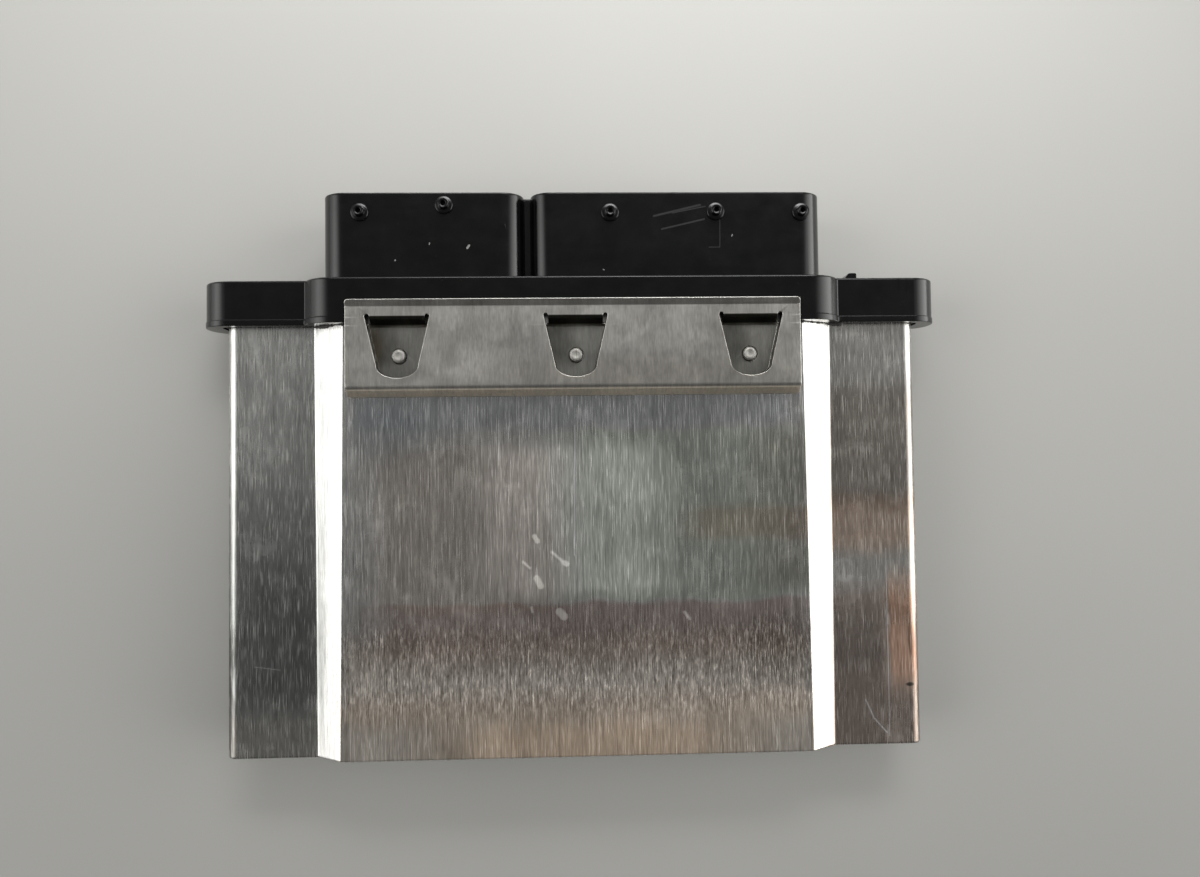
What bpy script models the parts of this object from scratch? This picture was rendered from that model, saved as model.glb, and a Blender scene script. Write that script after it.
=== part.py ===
"""Engine control unit: aluminium can with a moulded two-socket header, a lanced sheet clip and its board.

+X runs across the unit, +Y points out of the sockets, +Z is up. The origin is under the middle of the
unit, on the plane that its header rests on. All lengths are in metres.
"""
import math

import bmesh
import bpy
from mathutils import Vector

MM = 0.001

# Fits
GAP = 0.3 * MM            # clearance between pieces that seat on each other
SEAM = 0.2 * MM           # depth by which shapes of one moulding run into each other
PAST = 1.0 * MM           # how far a cutting shape runs past the face that it opens
SMOOTH_DEGREES = 35       # faces that meet at less than this are shaded as one curve

# Can: an impact-extruded hat section, the same above and below, open at the front
CAN_HALF_WIDTH = 95.75 * MM
CAN_WING_HALF = 5.0 * MM       # half thickness of the low wings
CAN_RAISE = 4.8 * MM           # height of the raised middle over the wings
CAN_WALL = 1.5 * MM
CAN_BACK_WALL = 2.0 * MM
CAN_END_RADIUS = 2.2 * MM      # rounding of the wings' outer edges
CAN_EDGE_RADIUS = 1.2 * MM     # rounding along both edges of a slope
CAN_BACK_FOOT = 70.8 * MM      # slope's foot and shoulder at the back wall
CAN_BACK_SHOULDER = 63.8 * MM
CAN_MOUTH_FOOT = 71.5 * MM     # and at the open mouth, where the slope is flatter
CAN_MOUTH_SHOULDER = 62.7 * MM
CAN_BACK_Y = -76.4 * MM
GUIDE_RIB_DEPTH = 2.8 * MM     # how far the ribs that guide the board stand in from the side walls

# Header moulding
FLANGE_OVERHANG = 6.25 * MM    # how far the flange reaches past the can's sides
FLANGE_OVER_CAN = 3.0 * MM     # how far the flange stands over the can, above and below
FLANGE_FOOT_OVER = 1.7 * MM    # foot of the flange's raised middle, past the foot of the can's slope
FLANGE_DRAFT = 3.0 * MM        # how far the side of the raised middle leans in
FLANGE_CROWN_RADIUS = 9.8 * MM
FLANGE_END_RADIUS = 7.3 * MM
FLANGE_BACK_Y = 41.1 * MM
FLANGE_FRONT_Y = 53.4 * MM
FLANGE_FRONT_BREAK = 0.4 * MM  # broken edge round the flange's front
RIM_WIDTH = 1.6 * MM           # slightly proud rim along the flange's back edge
RIM_PROUD = 0.15 * MM
END_WALL = 3.0 * MM
GROOVE_CLEARANCE = 1.2 * MM    # room for sealant between the can and the flange
RIM_TO_END_WALL = 0.5 * MM     # the can's rim stops this far before the end wall
COLLAR_CLEARANCE = 0.4 * MM
COLLAR_WALL = 1.4 * MM
COLLAR_LENGTH = 6.4 * MM

# Sockets of the header
SHROUD_LEFT = -68.2 * MM
SHROUD_RIGHT = 68.5 * MM
SHROUD_FRONT_Y = 76.4 * MM
SHROUD_BELOW_CROWN = 1.0 * MM  # the shrouds lie this far inside the flange's crown
SHROUD_WALL = 1.9 * MM
SHROUD_OUTER_RADIUS = 6.3 * MM
SHROUD_VALLEY_RADIUS = 5.6 * MM
SHROUD_VALLEY_DEPTH = 6.2 * MM
SHROUD_VALLEY_WIDTH = 1.9 * MM
SHROUD_SPLIT_X = -12.7 * MM    # middle of the partition between the two sockets
PARTITION = 4.2 * MM
SOCKET_RADIUS = 4.0 * MM
KEY_RIB_WIDTH = 1.6 * MM
KEY_RIB_HEIGHT = 0.9 * MM
KEY_RIB_SETBACK = 2.0 * MM
SMALL_KEYS_X = (-57.0 * MM, -26.0 * MM)
LARGE_KEYS_X = (-2.0 * MM, 24.0 * MM, 57.0 * MM)

# Hollow pegs on top of the shrouds, and the nub on the flange
PEG_PLACES = ((-57.5 * MM, 71.0 * MM), (-34.9 * MM, 72.9 * MM), (10.0 * MM, 70.8 * MM),
              (38.8 * MM, 71.0 * MM), (62.3 * MM, 70.8 * MM))
PEG_RADIUS = 1.4 * MM
PEG_HOLE_RADIUS = 0.7 * MM
PEG_HOLE_DEPTH = 1.8 * MM
PEG_HEIGHT = 2.2 * MM
PEG_FOOT_RADIUS = 2.4 * MM
PEG_FOOT_HEIGHT = 0.6 * MM
PEG_ROOT = 1.2 * MM
PEG_SIDES = 12
NUB_LEFT = 75.4 * MM
NUB_RIGHT = 78.8 * MM
NUB_SLANT = 1.2 * MM
NUB_OUT = 1.4 * MM
NUB_HEIGHT = 8.0 * MM
NUB_BELOW_TOP = 0.6 * MM

# Sealant bead in the groove
SEAL_SETBACK = 0.4 * MM
SEAL_LENGTH = 5.2 * MM

# Pins and the carriers that hold them
PIN = 0.64 * MM
PIN_TIP = 0.3 * MM
PIN_TAPER = 0.8 * MM
PIN_REACH = 12.0 * MM          # from the end wall's face to the pins' tips
PIN_ROW_PITCH = 3.8 * MM
PIN_ROWS = 4
CARRIER_PROUD = 0.6 * MM       # carrier's face stands this far in front of the end wall
CARRIER_MARGIN = 1.8 * MM
CARRIER_ROW_MARGIN = 1.4 * MM
SMALL_PITCH = 3.2 * MM
SMALL_COLUMNS = 14
LARGE_PITCH = 2.8 * MM
LARGE_COLUMNS = 20
LARGE_FIELD_SHIFT = 6.4 * MM   # the large socket's small pins stand off its middle
POWER_COLUMNS = 3
POWER_ROWS = 2
POWER_PITCH = 4.4 * MM
POWER_ROW_PITCH = 7.6 * MM
POWER_PIN_WIDTH = 2.4 * MM
POWER_PIN_THICKNESS = 0.8 * MM
CARRIER_SPACE = 1.6 * MM       # wall left between the two carriers of the large socket
FIRST_TAIL = 3.4 * MM          # from the end wall to the nearest row of tails
TAIL_STEP = 2.2 * MM

# Circuit board
BOARD_THICKNESS = 1.6 * MM
BOARD_TO_BACK_WALL = 1.5 * MM
BOARD_TO_END_WALL = 2.0 * MM
BOARD_SIDE_GAP = 0.35 * MM
BOARD_CORNER = 1.0 * MM

# Arms of the header under the board, with their screws
ARM_FROM_SIDE = 15.25 * MM     # from the can's side to the middle of an arm
ARM_WIDTH = 9.0 * MM
ARM_REACH = 17.0 * MM          # behind the end wall
SCREW_FROM_ARM_END = 4.0 * MM
SCREW_RADIUS = 1.1 * MM
SCREW_HEAD_RADIUS = 2.4 * MM
SCREW_HEAD_HEIGHT = 1.5 * MM
SCREW_DRIVE_RADIUS = 1.0 * MM
SCREW_DRIVE_DEPTH = 0.8 * MM
SCREW_BELOW_BOARD = 1.5 * MM
SCREW_POINT = 0.6 * MM
SCREW_HEAD_EDGE = 0.4 * MM
SCREW_SIDES = 12

# Chips on the board: place in X and Y, length, width and height, and leads along each long side
CHIPS = {
    "microcontroller": (-8.0 * MM, -18.0 * MM, 24.0 * MM, 24.0 * MM, 2.0 * MM),
    "injector_driver": (30.0 * MM, 6.0 * MM, 16.0 * MM, 11.0 * MM, 3.2 * MM),
    "throttle_driver": (30.0 * MM, -16.0 * MM, 16.0 * MM, 11.0 * MM, 3.2 * MM),
    "supply_chip": (-40.0 * MM, 4.0 * MM, 13.0 * MM, 8.0 * MM, 2.6 * MM),
    "memory_chip": (-8.0 * MM, -42.0 * MM, 6.0 * MM, 5.0 * MM, 1.6 * MM),
    "network_chip": (-36.0 * MM, -14.0 * MM, 6.0 * MM, 5.0 * MM, 1.6 * MM),
}
CHIP_LEADS = {"microcontroller": 0, "injector_driver": 6, "throttle_driver": 6, "supply_chip": 5,
              "memory_chip": 3, "network_chip": 3}
CHIP_STANDOFF = 0.1 * MM
LEAD_OUT = 1.1 * MM            # reach of a lead beyond the chip's side
LEAD_ROOT = 0.3 * MM           # length of a lead inside the moulding
SWITCHES = 4
SWITCH_FROM_SIDE = 14.75 * MM  # from the can's side to the middle of the switches
SWITCH_FIRST_Y = -52.0 * MM
SWITCH_PITCH = 18.0 * MM
SWITCH_LENGTH = 6.5 * MM
SWITCH_WIDTH = 6.0 * MM
SWITCH_HEIGHT = 2.1 * MM
CAPACITORS = 3
CAPACITOR_X = -52.0 * MM
CAPACITOR_FIRST_Y = -56.0 * MM
CAPACITOR_PITCH = 11.0 * MM
CAPACITOR_RADIUS = 4.0 * MM
CAPACITOR_HEIGHT = 6.0 * MM
CAPACITOR_BASE = 0.8 * MM      # height of the groove that holds the can to its base
CAPACITOR_GROOVE = 0.3 * MM
CAPACITOR_EDGE = 0.4 * MM
CAPACITOR_SIDES = 12
COIL_PLACE = (-24.0 * MM, -56.0 * MM)
COIL_WIDTH = 12.0 * MM
COIL_HEIGHT = 5.8 * MM
COIL_CORNER = 2.0 * MM
COIL_EDGE = 0.8 * MM
CRYSTAL_PLACE = (15.75 * MM, -42.6 * MM)
CRYSTAL_LENGTH = 11.5 * MM
CRYSTAL_WIDTH = 4.8 * MM
CRYSTAL_HEIGHT = 3.4 * MM
PAD_WIDTH = 12.0 * MM          # thermal pads under the board's edges, beneath the switches
PAD_PAST_SWITCHES = 6.0 * MM
PAD_CORNER = 3.0 * MM

# Retaining clip, one lanced and bent sheet
CLIP_SHEET = 0.6 * MM
CLIP_INSET = 1.5 * MM          # from the slope's shoulder to the end of the sheet
CLIP_LIP_Y = 47.1 * MM
CLIP_LIP_START_Y = 45.3 * MM
CLIP_LIP_RISE = 0.9 * MM
CLIP_BEND_Y = 23.3 * MM
CLIP_HEEL_Y = 21.3 * MM
CLIP_BEND_RADIUS = 0.9 * MM
CLIP_CORNER = 0.9 * MM         # rounding of the sheet's two front corners
WINDOW_PLACES = (-47.4 * MM, 0.3 * MM, 47.7 * MM)
WINDOW_FRONT_Y = 42.5 * MM
WINDOW_HALF_FRONT = 8.65 * MM
WINDOW_HALF_BACK = 5.6 * MM
WINDOW_SIDE_END_Y = 29.4 * MM
WINDOW_BACK_Y = 26.0 * MM
WINDOW_ARC_STEPS = 8
NOTCH_RADIUS = 0.65 * MM       # round relief notch at each end of a tongue's bend
NOTCH_STEPS = 5
KERF = 0.25 * MM               # slit left by the lancing tool
TONGUE_DROP_LENGTH = 2.4 * MM
TONGUE_INNER_RADIUS = 0.2 * MM   # inside of both bends of a tongue

# Studs half-sheared out of the can's top, which the tongues hook over
STUD_FROM_WINDOW_FRONT = 10.4 * MM
STUD_RADIUS = 1.85 * MM
STUD_HEIGHT = 2.0 * MM
STUD_BREAK = 0.6 * MM
STUD_SIDES = 18
STUD_HOLE_CLEARANCE = 0.55 * MM
STUD_HOLE_SHIFT = 0.25 * MM    # the tongues' holes stand to one side of the studs

# Pockets in the flange that the tongues drop through
POCKET_SIDE = 0.4 * MM
POCKET_DEPTH = 2.6 * MM

# Values worked out from the sizes above
CROWN_HALF = CAN_WING_HALF + CAN_RAISE + FLANGE_OVER_CAN
FLANGE_HALF_WIDTH = CAN_HALF_WIDTH + FLANGE_OVERHANG
FLANGE_FOOT = CAN_MOUTH_FOOT + FLANGE_FOOT_OVER
FLANGE_CORNER = FLANGE_FOOT - FLANGE_DRAFT
CLIP_HALF_WIDTH = CAN_MOUTH_SHOULDER - CLIP_INSET
ARM_X = CAN_HALF_WIDTH - ARM_FROM_SIDE
SWITCH_X = CAN_HALF_WIDTH - SWITCH_FROM_SIDE
MID_Z = CROWN_HALF
CAN_TOP_Z = MID_Z + CAN_WING_HALF + CAN_RAISE
FLANGE_TOP_Z = MID_Z + CROWN_HALF
END_WALL_Y = FLANGE_FRONT_Y - END_WALL
CAN_MOUTH_Y = END_WALL_Y - RIM_TO_END_WALL
STUD_Y = WINDOW_FRONT_Y - STUD_FROM_WINDOW_FRONT
BOARD_TOP_Z = MID_Z + BOARD_THICKNESS / 2
BOARD_BOTTOM_Z = MID_Z - BOARD_THICKNESS / 2
SLOT_HALF = BOARD_THICKNESS / 2 + GAP
RIB_X = CAN_HALF_WIDTH - CAN_WALL - GUIDE_RIB_DEPTH
SOCKET_FLOOR_Y = FLANGE_FRONT_Y
PIN_TIP_Y = SOCKET_FLOOR_Y + PIN_REACH
SHROUD_TOP_Z = FLANGE_TOP_Z - SHROUD_BELOW_CROWN
SHROUD_BOTTOM_Z = SHROUD_BELOW_CROWN
ARM_BACK_Y = END_WALL_Y - ARM_REACH
SCREW_Y = ARM_BACK_Y + SCREW_FROM_ARM_END
SEAT_Z = BOARD_TOP_Z + GAP     # underside of what sits on the board

for old in list(bpy.data.objects):
    bpy.data.objects.remove(old, do_unlink=True)


# Materials
def finish(name, colour, roughness, metallic=0.0):
    material = bpy.data.materials.new(name)
    material.use_nodes = True
    shader = material.node_tree.nodes["Principled BSDF"]
    shader.inputs["Base Color"].default_value = (*colour, 1.0)
    shader.inputs["Roughness"].default_value = roughness
    shader.inputs["Metallic"].default_value = metallic
    material.diffuse_color = (*colour, 1.0)
    return material


ALUMINIUM = finish("drawn_aluminium", (0.78, 0.78, 0.77), 0.3, 1.0)
BLACK_MOULDING = finish("black_moulding", (0.014, 0.014, 0.015), 0.42)
SPRING_STEEL = finish("spring_steel", (0.60, 0.59, 0.56), 0.38, 1.0)
SEALANT = finish("grey_sealant", (0.10, 0.10, 0.10), 0.6)
PIN_METAL = finish("tinned_pins", (0.72, 0.70, 0.66), 0.3, 1.0)
BOARD_GREEN = finish("green_board", (0.02, 0.12, 0.05), 0.4)
CHIP_BLACK = finish("chip_black", (0.02, 0.02, 0.022), 0.55)
CAPACITOR_SLEEVE = finish("capacitor_can", (0.65, 0.65, 0.66), 0.35, 1.0)
COIL_GREY = finish("ferrite_grey", (0.08, 0.08, 0.085), 0.6)
SCREW_STEEL = finish("screw_steel", (0.55, 0.55, 0.56), 0.35, 1.0)
PAD_BLUE = finish("thermal_paste", (0.30, 0.42, 0.55), 0.8)


# Shapes
def rounded(corners, steps=4):
    """Closed outline through corners given as (u, v, radius), each rounded by an arc."""
    outline = []
    for index, (u, v, radius) in enumerate(corners):
        here = Vector((u, v))
        if radius <= 0:
            outline.append((u, v))
            continue
        before = Vector(corners[index - 1][:2]) - here
        after = Vector(corners[(index + 1) % len(corners)][:2]) - here
        before.normalize()
        after.normalize()
        half = math.acos(max(-1.0, min(1.0, before.dot(after)))) / 2
        reach = radius / math.tan(half)
        centre = here + (before + after).normalized() * radius / math.sin(half)
        start = here + before * reach - centre
        end = here + after * reach - centre
        first = math.atan2(start.y, start.x)
        sweep = math.atan2(end.y, end.x) - first
        sweep = (sweep + math.pi) % (2 * math.pi) - math.pi
        for step in range(steps + 1):
            angle = first + sweep * step / steps
            outline.append((centre.x + radius * math.cos(angle), centre.y + radius * math.sin(angle)))
    return outline


def place(axis, u, v, along):
    """Point of an outline at a distance along the axis that the outline is swept on."""
    if axis == "X":
        return (along, u, v)
    if axis == "Y":
        return (u, along, v)
    return (u, v, along)


def solid_object(name, mesh, material=None, smooth=0.0):
    """Object for a finished bmesh; faces closer to each other than the smooth angle are shaded round."""
    bmesh.ops.recalc_face_normals(mesh, faces=mesh.faces)
    data = bpy.data.meshes.new(name)
    mesh.to_mesh(data)
    mesh.free()
    thing = bpy.data.objects.new(name, data)
    bpy.context.collection.objects.link(thing)
    if material:
        data.materials.append(material)
    if smooth > 0:
        data.shade_smooth()
        data.set_sharp_from_angle(angle=math.radians(smooth))
    return thing


def loft(name, sections, axis="Y", material=None, smooth=0.0):
    """Solid through outlines of equal point counts, given as (distance along the axis, outline)."""
    mesh = bmesh.new()
    rings = []
    for along, outline in sections:
        rings.append([mesh.verts.new(place(axis, u, v, along)) for u, v in outline])
    mesh.faces.new(rings[0])
    mesh.faces.new(rings[-1])
    count = len(rings[0])
    for lower, upper in zip(rings, rings[1:]):
        for index in range(count):
            after = (index + 1) % count
            mesh.faces.new((lower[index], lower[after], upper[after], upper[index]))
    return solid_object(name, mesh, material, smooth)


def prism(name, outline, low, high, axis="Y", material=None, smooth=0.0):
    return loft(name, ((low, outline), (high, outline)), axis, material, smooth)


def tube(name, outer, inner, low, high, material=None, smooth=0.0):
    """Ring along Y between two outlines with the same number of points."""
    mesh = bmesh.new()
    rings = []
    for along, outline in ((low, outer), (high, outer), (high, inner), (low, inner)):
        rings.append([mesh.verts.new(place("Y", u, v, along)) for u, v in outline])
    count = len(outer)
    for number, ring in enumerate(rings):
        next_ring = rings[(number + 1) % 4]
        for index in range(count):
            after = (index + 1) % count
            mesh.faces.new((ring[index], ring[after], next_ring[after], next_ring[index]))
    return solid_object(name, mesh, material, smooth)


def box(name, low, high, material=None):
    outline = ((low[0], low[1]), (high[0], low[1]), (high[0], high[1]), (low[0], high[1]))
    return prism(name, outline, low[2], high[2], "Z", material)


def turned(name, profile, centre, sides, material=None, smooth=0.0):
    """Solid turned about a vertical axis from (radius, height) points, lowest first."""
    mesh = bmesh.new()
    rings = []
    for radius, height in profile:
        ring = []
        for side in range(sides):
            angle = 2 * math.pi * side / sides
            x = centre[0] + radius * math.cos(angle)
            y = centre[1] + radius * math.sin(angle)
            ring.append(mesh.verts.new((x, y, height)))
        rings.append(ring)
    mesh.faces.new(rings[0])
    mesh.faces.new(rings[-1])
    for lower, upper in zip(rings, rings[1:]):
        for side in range(sides):
            after = (side + 1) % sides
            mesh.faces.new((lower[side], lower[after], upper[after], upper[side]))
    return solid_object(name, mesh, material, smooth)


def combine(thing, tool, operation):
    """Cut, join or intersect a solid with a tool shape, which stays in the scene as a hidden guide."""
    step = thing.modifiers.new(tool.name, "BOOLEAN")
    step.operation = operation
    step.solver = "EXACT"
    step.object = tool
    tool.hide_render = True
    tool.display_type = "WIRE"


def merged(name, pieces):
    """One object from tool shapes that lie clear of each other."""
    mesh = bmesh.new()
    for piece in pieces:
        mesh.from_mesh(piece.data)
        bpy.data.objects.remove(piece, do_unlink=True)
    return solid_object(name, mesh)


# The hat section, which the can and all of the header's fits to it share
def hat_section(foot, shoulder):
    return {"half_width": CAN_HALF_WIDTH, "wing": CAN_WING_HALF, "crown": CAN_WING_HALF + CAN_RAISE,
            "foot": foot, "shoulder": shoulder, "end_radius": CAN_END_RADIUS,
            "edge_radius": CAN_EDGE_RADIUS}


def grown(section, distance):
    """The section with every side moved outwards by a distance, or inwards by a negative one."""
    angle = math.atan2(section["crown"] - section["wing"], section["foot"] - section["shoulder"])
    shift = distance * math.tan(angle / 2)
    return {"half_width": section["half_width"] + distance, "wing": section["wing"] + distance,
            "crown": section["crown"] + distance, "foot": section["foot"] + shift,
            "shoulder": section["shoulder"] + shift,
            "end_radius": max(section["end_radius"] + distance, 0.5 * MM),
            "edge_radius": section["edge_radius"]}


def hat_outline(section):
    """Closed outline of a hat section in X and Z, the same above and below its middle."""
    width, wing, crown = section["half_width"], section["wing"], section["crown"]
    end, edge = section["end_radius"], section["edge_radius"]
    upper = ((width, wing, end), (section["foot"], wing, edge), (section["shoulder"], crown, edge),
             (-section["shoulder"], crown, edge), (-section["foot"], wing, edge), (-width, wing, end))
    lower = [(-x, -z, radius) for x, z, radius in upper]
    corners = [(x, MID_Z + z, radius) for x, z, radius in (*upper, *lower)]
    return rounded(corners)


BACK_SECTION = hat_section(CAN_BACK_FOOT, CAN_BACK_SHOULDER)
MOUTH_SECTION = hat_section(CAN_MOUTH_FOOT, CAN_MOUTH_SHOULDER)


# Can: loft from back wall to mouth, hollowed from the front, with ribs beside the board's edges
def cavity_outline(section):
    inner = grown(section, -CAN_WALL)
    width, wing, crown = inner["half_width"], inner["wing"], inner["crown"]
    edge = inner["edge_radius"]
    upper = ((width, SLOT_HALF, 0), (RIB_X, SLOT_HALF, 0), (RIB_X, wing, 0),
             (inner["foot"], wing, edge), (inner["shoulder"], crown, edge),
             (-inner["shoulder"], crown, edge), (-inner["foot"], wing, edge),
             (-RIB_X, wing, 0), (-RIB_X, SLOT_HALF, 0), (-width, SLOT_HALF, 0))
    lower = [(-x, -z, radius) for x, z, radius in upper]
    return rounded([(x, MID_Z + z, radius) for x, z, radius in (*upper, *lower)])


def section_at(y):
    """The can's section at a distance along it, between those of the back wall and the mouth."""
    share = (y - CAN_BACK_Y) / (CAN_MOUTH_Y - CAN_BACK_Y)
    foot = CAN_BACK_FOOT + share * (CAN_MOUTH_FOOT - CAN_BACK_FOOT)
    shoulder = CAN_BACK_SHOULDER + share * (CAN_MOUTH_SHOULDER - CAN_BACK_SHOULDER)
    return hat_section(foot, shoulder)


def make_can():
    can = loft("housing_can", ((CAN_BACK_Y, hat_outline(BACK_SECTION)), (CAN_MOUTH_Y, hat_outline(MOUTH_SECTION))),
               "Y", ALUMINIUM, SMOOTH_DEGREES)
    floor_y = CAN_BACK_Y + CAN_BACK_WALL
    past_mouth = CAN_MOUTH_Y + PAST
    hollow = loft("can_hollow", ((floor_y, cavity_outline(section_at(floor_y))),
                                 (past_mouth, cavity_outline(section_at(past_mouth)))))
    combine(can, hollow, "DIFFERENCE")
    studs = []
    for x in WINDOW_PLACES:
        top = CAN_TOP_Z + STUD_HEIGHT
        profile = ((STUD_RADIUS, CAN_TOP_Z - CAN_WALL / 2), (STUD_RADIUS, top - STUD_BREAK),
                   (STUD_RADIUS - STUD_BREAK * 0.3, top - STUD_BREAK * 0.3), (STUD_RADIUS - STUD_BREAK, top))
        studs.append(turned("stud", profile, (x, STUD_Y), STUD_SIDES))
    combine(can, merged("can_studs", studs), "UNION")


# Header: flange with its groove for the can's rim, collar, arms, shrouds, pegs and nub
def flange_outline(growth):
    wing = CAN_WING_HALF + FLANGE_OVER_CAN + growth
    crown = CROWN_HALF + min(growth, 0.0)
    width = FLANGE_HALF_WIDTH + growth
    foot, corner = FLANGE_FOOT + growth, FLANGE_CORNER + growth
    end = FLANGE_END_RADIUS
    upper = ((width, wing, end), (foot, wing, 0), (corner, crown, FLANGE_CROWN_RADIUS),
             (-corner, crown, FLANGE_CROWN_RADIUS), (-foot, wing, 0), (-width, wing, end))
    lower = [(-x, -z, radius) for x, z, radius in upper]
    return rounded([(x, MID_Z + z, radius) for x, z, radius in (*upper, *lower)], 6)


def shroud_outline():
    left, right = SHROUD_SPLIT_X - SHROUD_VALLEY_WIDTH / 2, SHROUD_SPLIT_X + SHROUD_VALLEY_WIDTH / 2
    low, high = SHROUD_BOTTOM_Z, SHROUD_TOP_Z
    outer, valley, depth = SHROUD_OUTER_RADIUS, SHROUD_VALLEY_RADIUS, SHROUD_VALLEY_DEPTH
    corners = ((SHROUD_LEFT, low, outer), (left, low, valley), (left, low + depth, 0),
               (right, low + depth, 0), (right, low, valley), (SHROUD_RIGHT, low, outer),
               (SHROUD_RIGHT, high, outer), (right, high, valley), (right, high - depth, 0),
               (left, high - depth, 0), (left, high, valley), (SHROUD_LEFT, high, outer))
    return rounded(corners, 5)


def socket_spans():
    """Left and right inner side of the small and of the large socket."""
    return ((SHROUD_LEFT + SHROUD_WALL, SHROUD_SPLIT_X - PARTITION / 2),
            (SHROUD_SPLIT_X + PARTITION / 2, SHROUD_RIGHT - SHROUD_WALL))


def rounded_box_outline(left, right, low, high, radius):
    return rounded(((left, low, radius), (right, low, radius), (right, high, radius), (left, high, radius)))


def carrier_spans():
    """Span in X and in Z of each pin carrier."""
    small, large = socket_spans()
    half_rows = (PIN_ROWS - 1) * PIN_ROW_PITCH / 2 + CARRIER_ROW_MARGIN
    small_half = (SMALL_COLUMNS - 1) * SMALL_PITCH / 2 + CARRIER_MARGIN
    small_middle = (small[0] + small[1]) / 2
    large_half = (LARGE_COLUMNS - 1) * LARGE_PITCH / 2 + CARRIER_MARGIN
    large_middle = (large[0] + large[1]) / 2 + LARGE_FIELD_SHIFT
    power_right = large_middle - large_half - CARRIER_SPACE
    power_half = (POWER_COLUMNS - 1) * POWER_PITCH / 2 + POWER_PIN_WIDTH / 2 + CARRIER_MARGIN / 2
    return {"small": (small_middle - small_half, small_middle + small_half, half_rows),
            "large": (large_middle - large_half, large_middle + large_half, half_rows),
            "power": (power_right - 2 * power_half, power_right, half_rows)}


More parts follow.
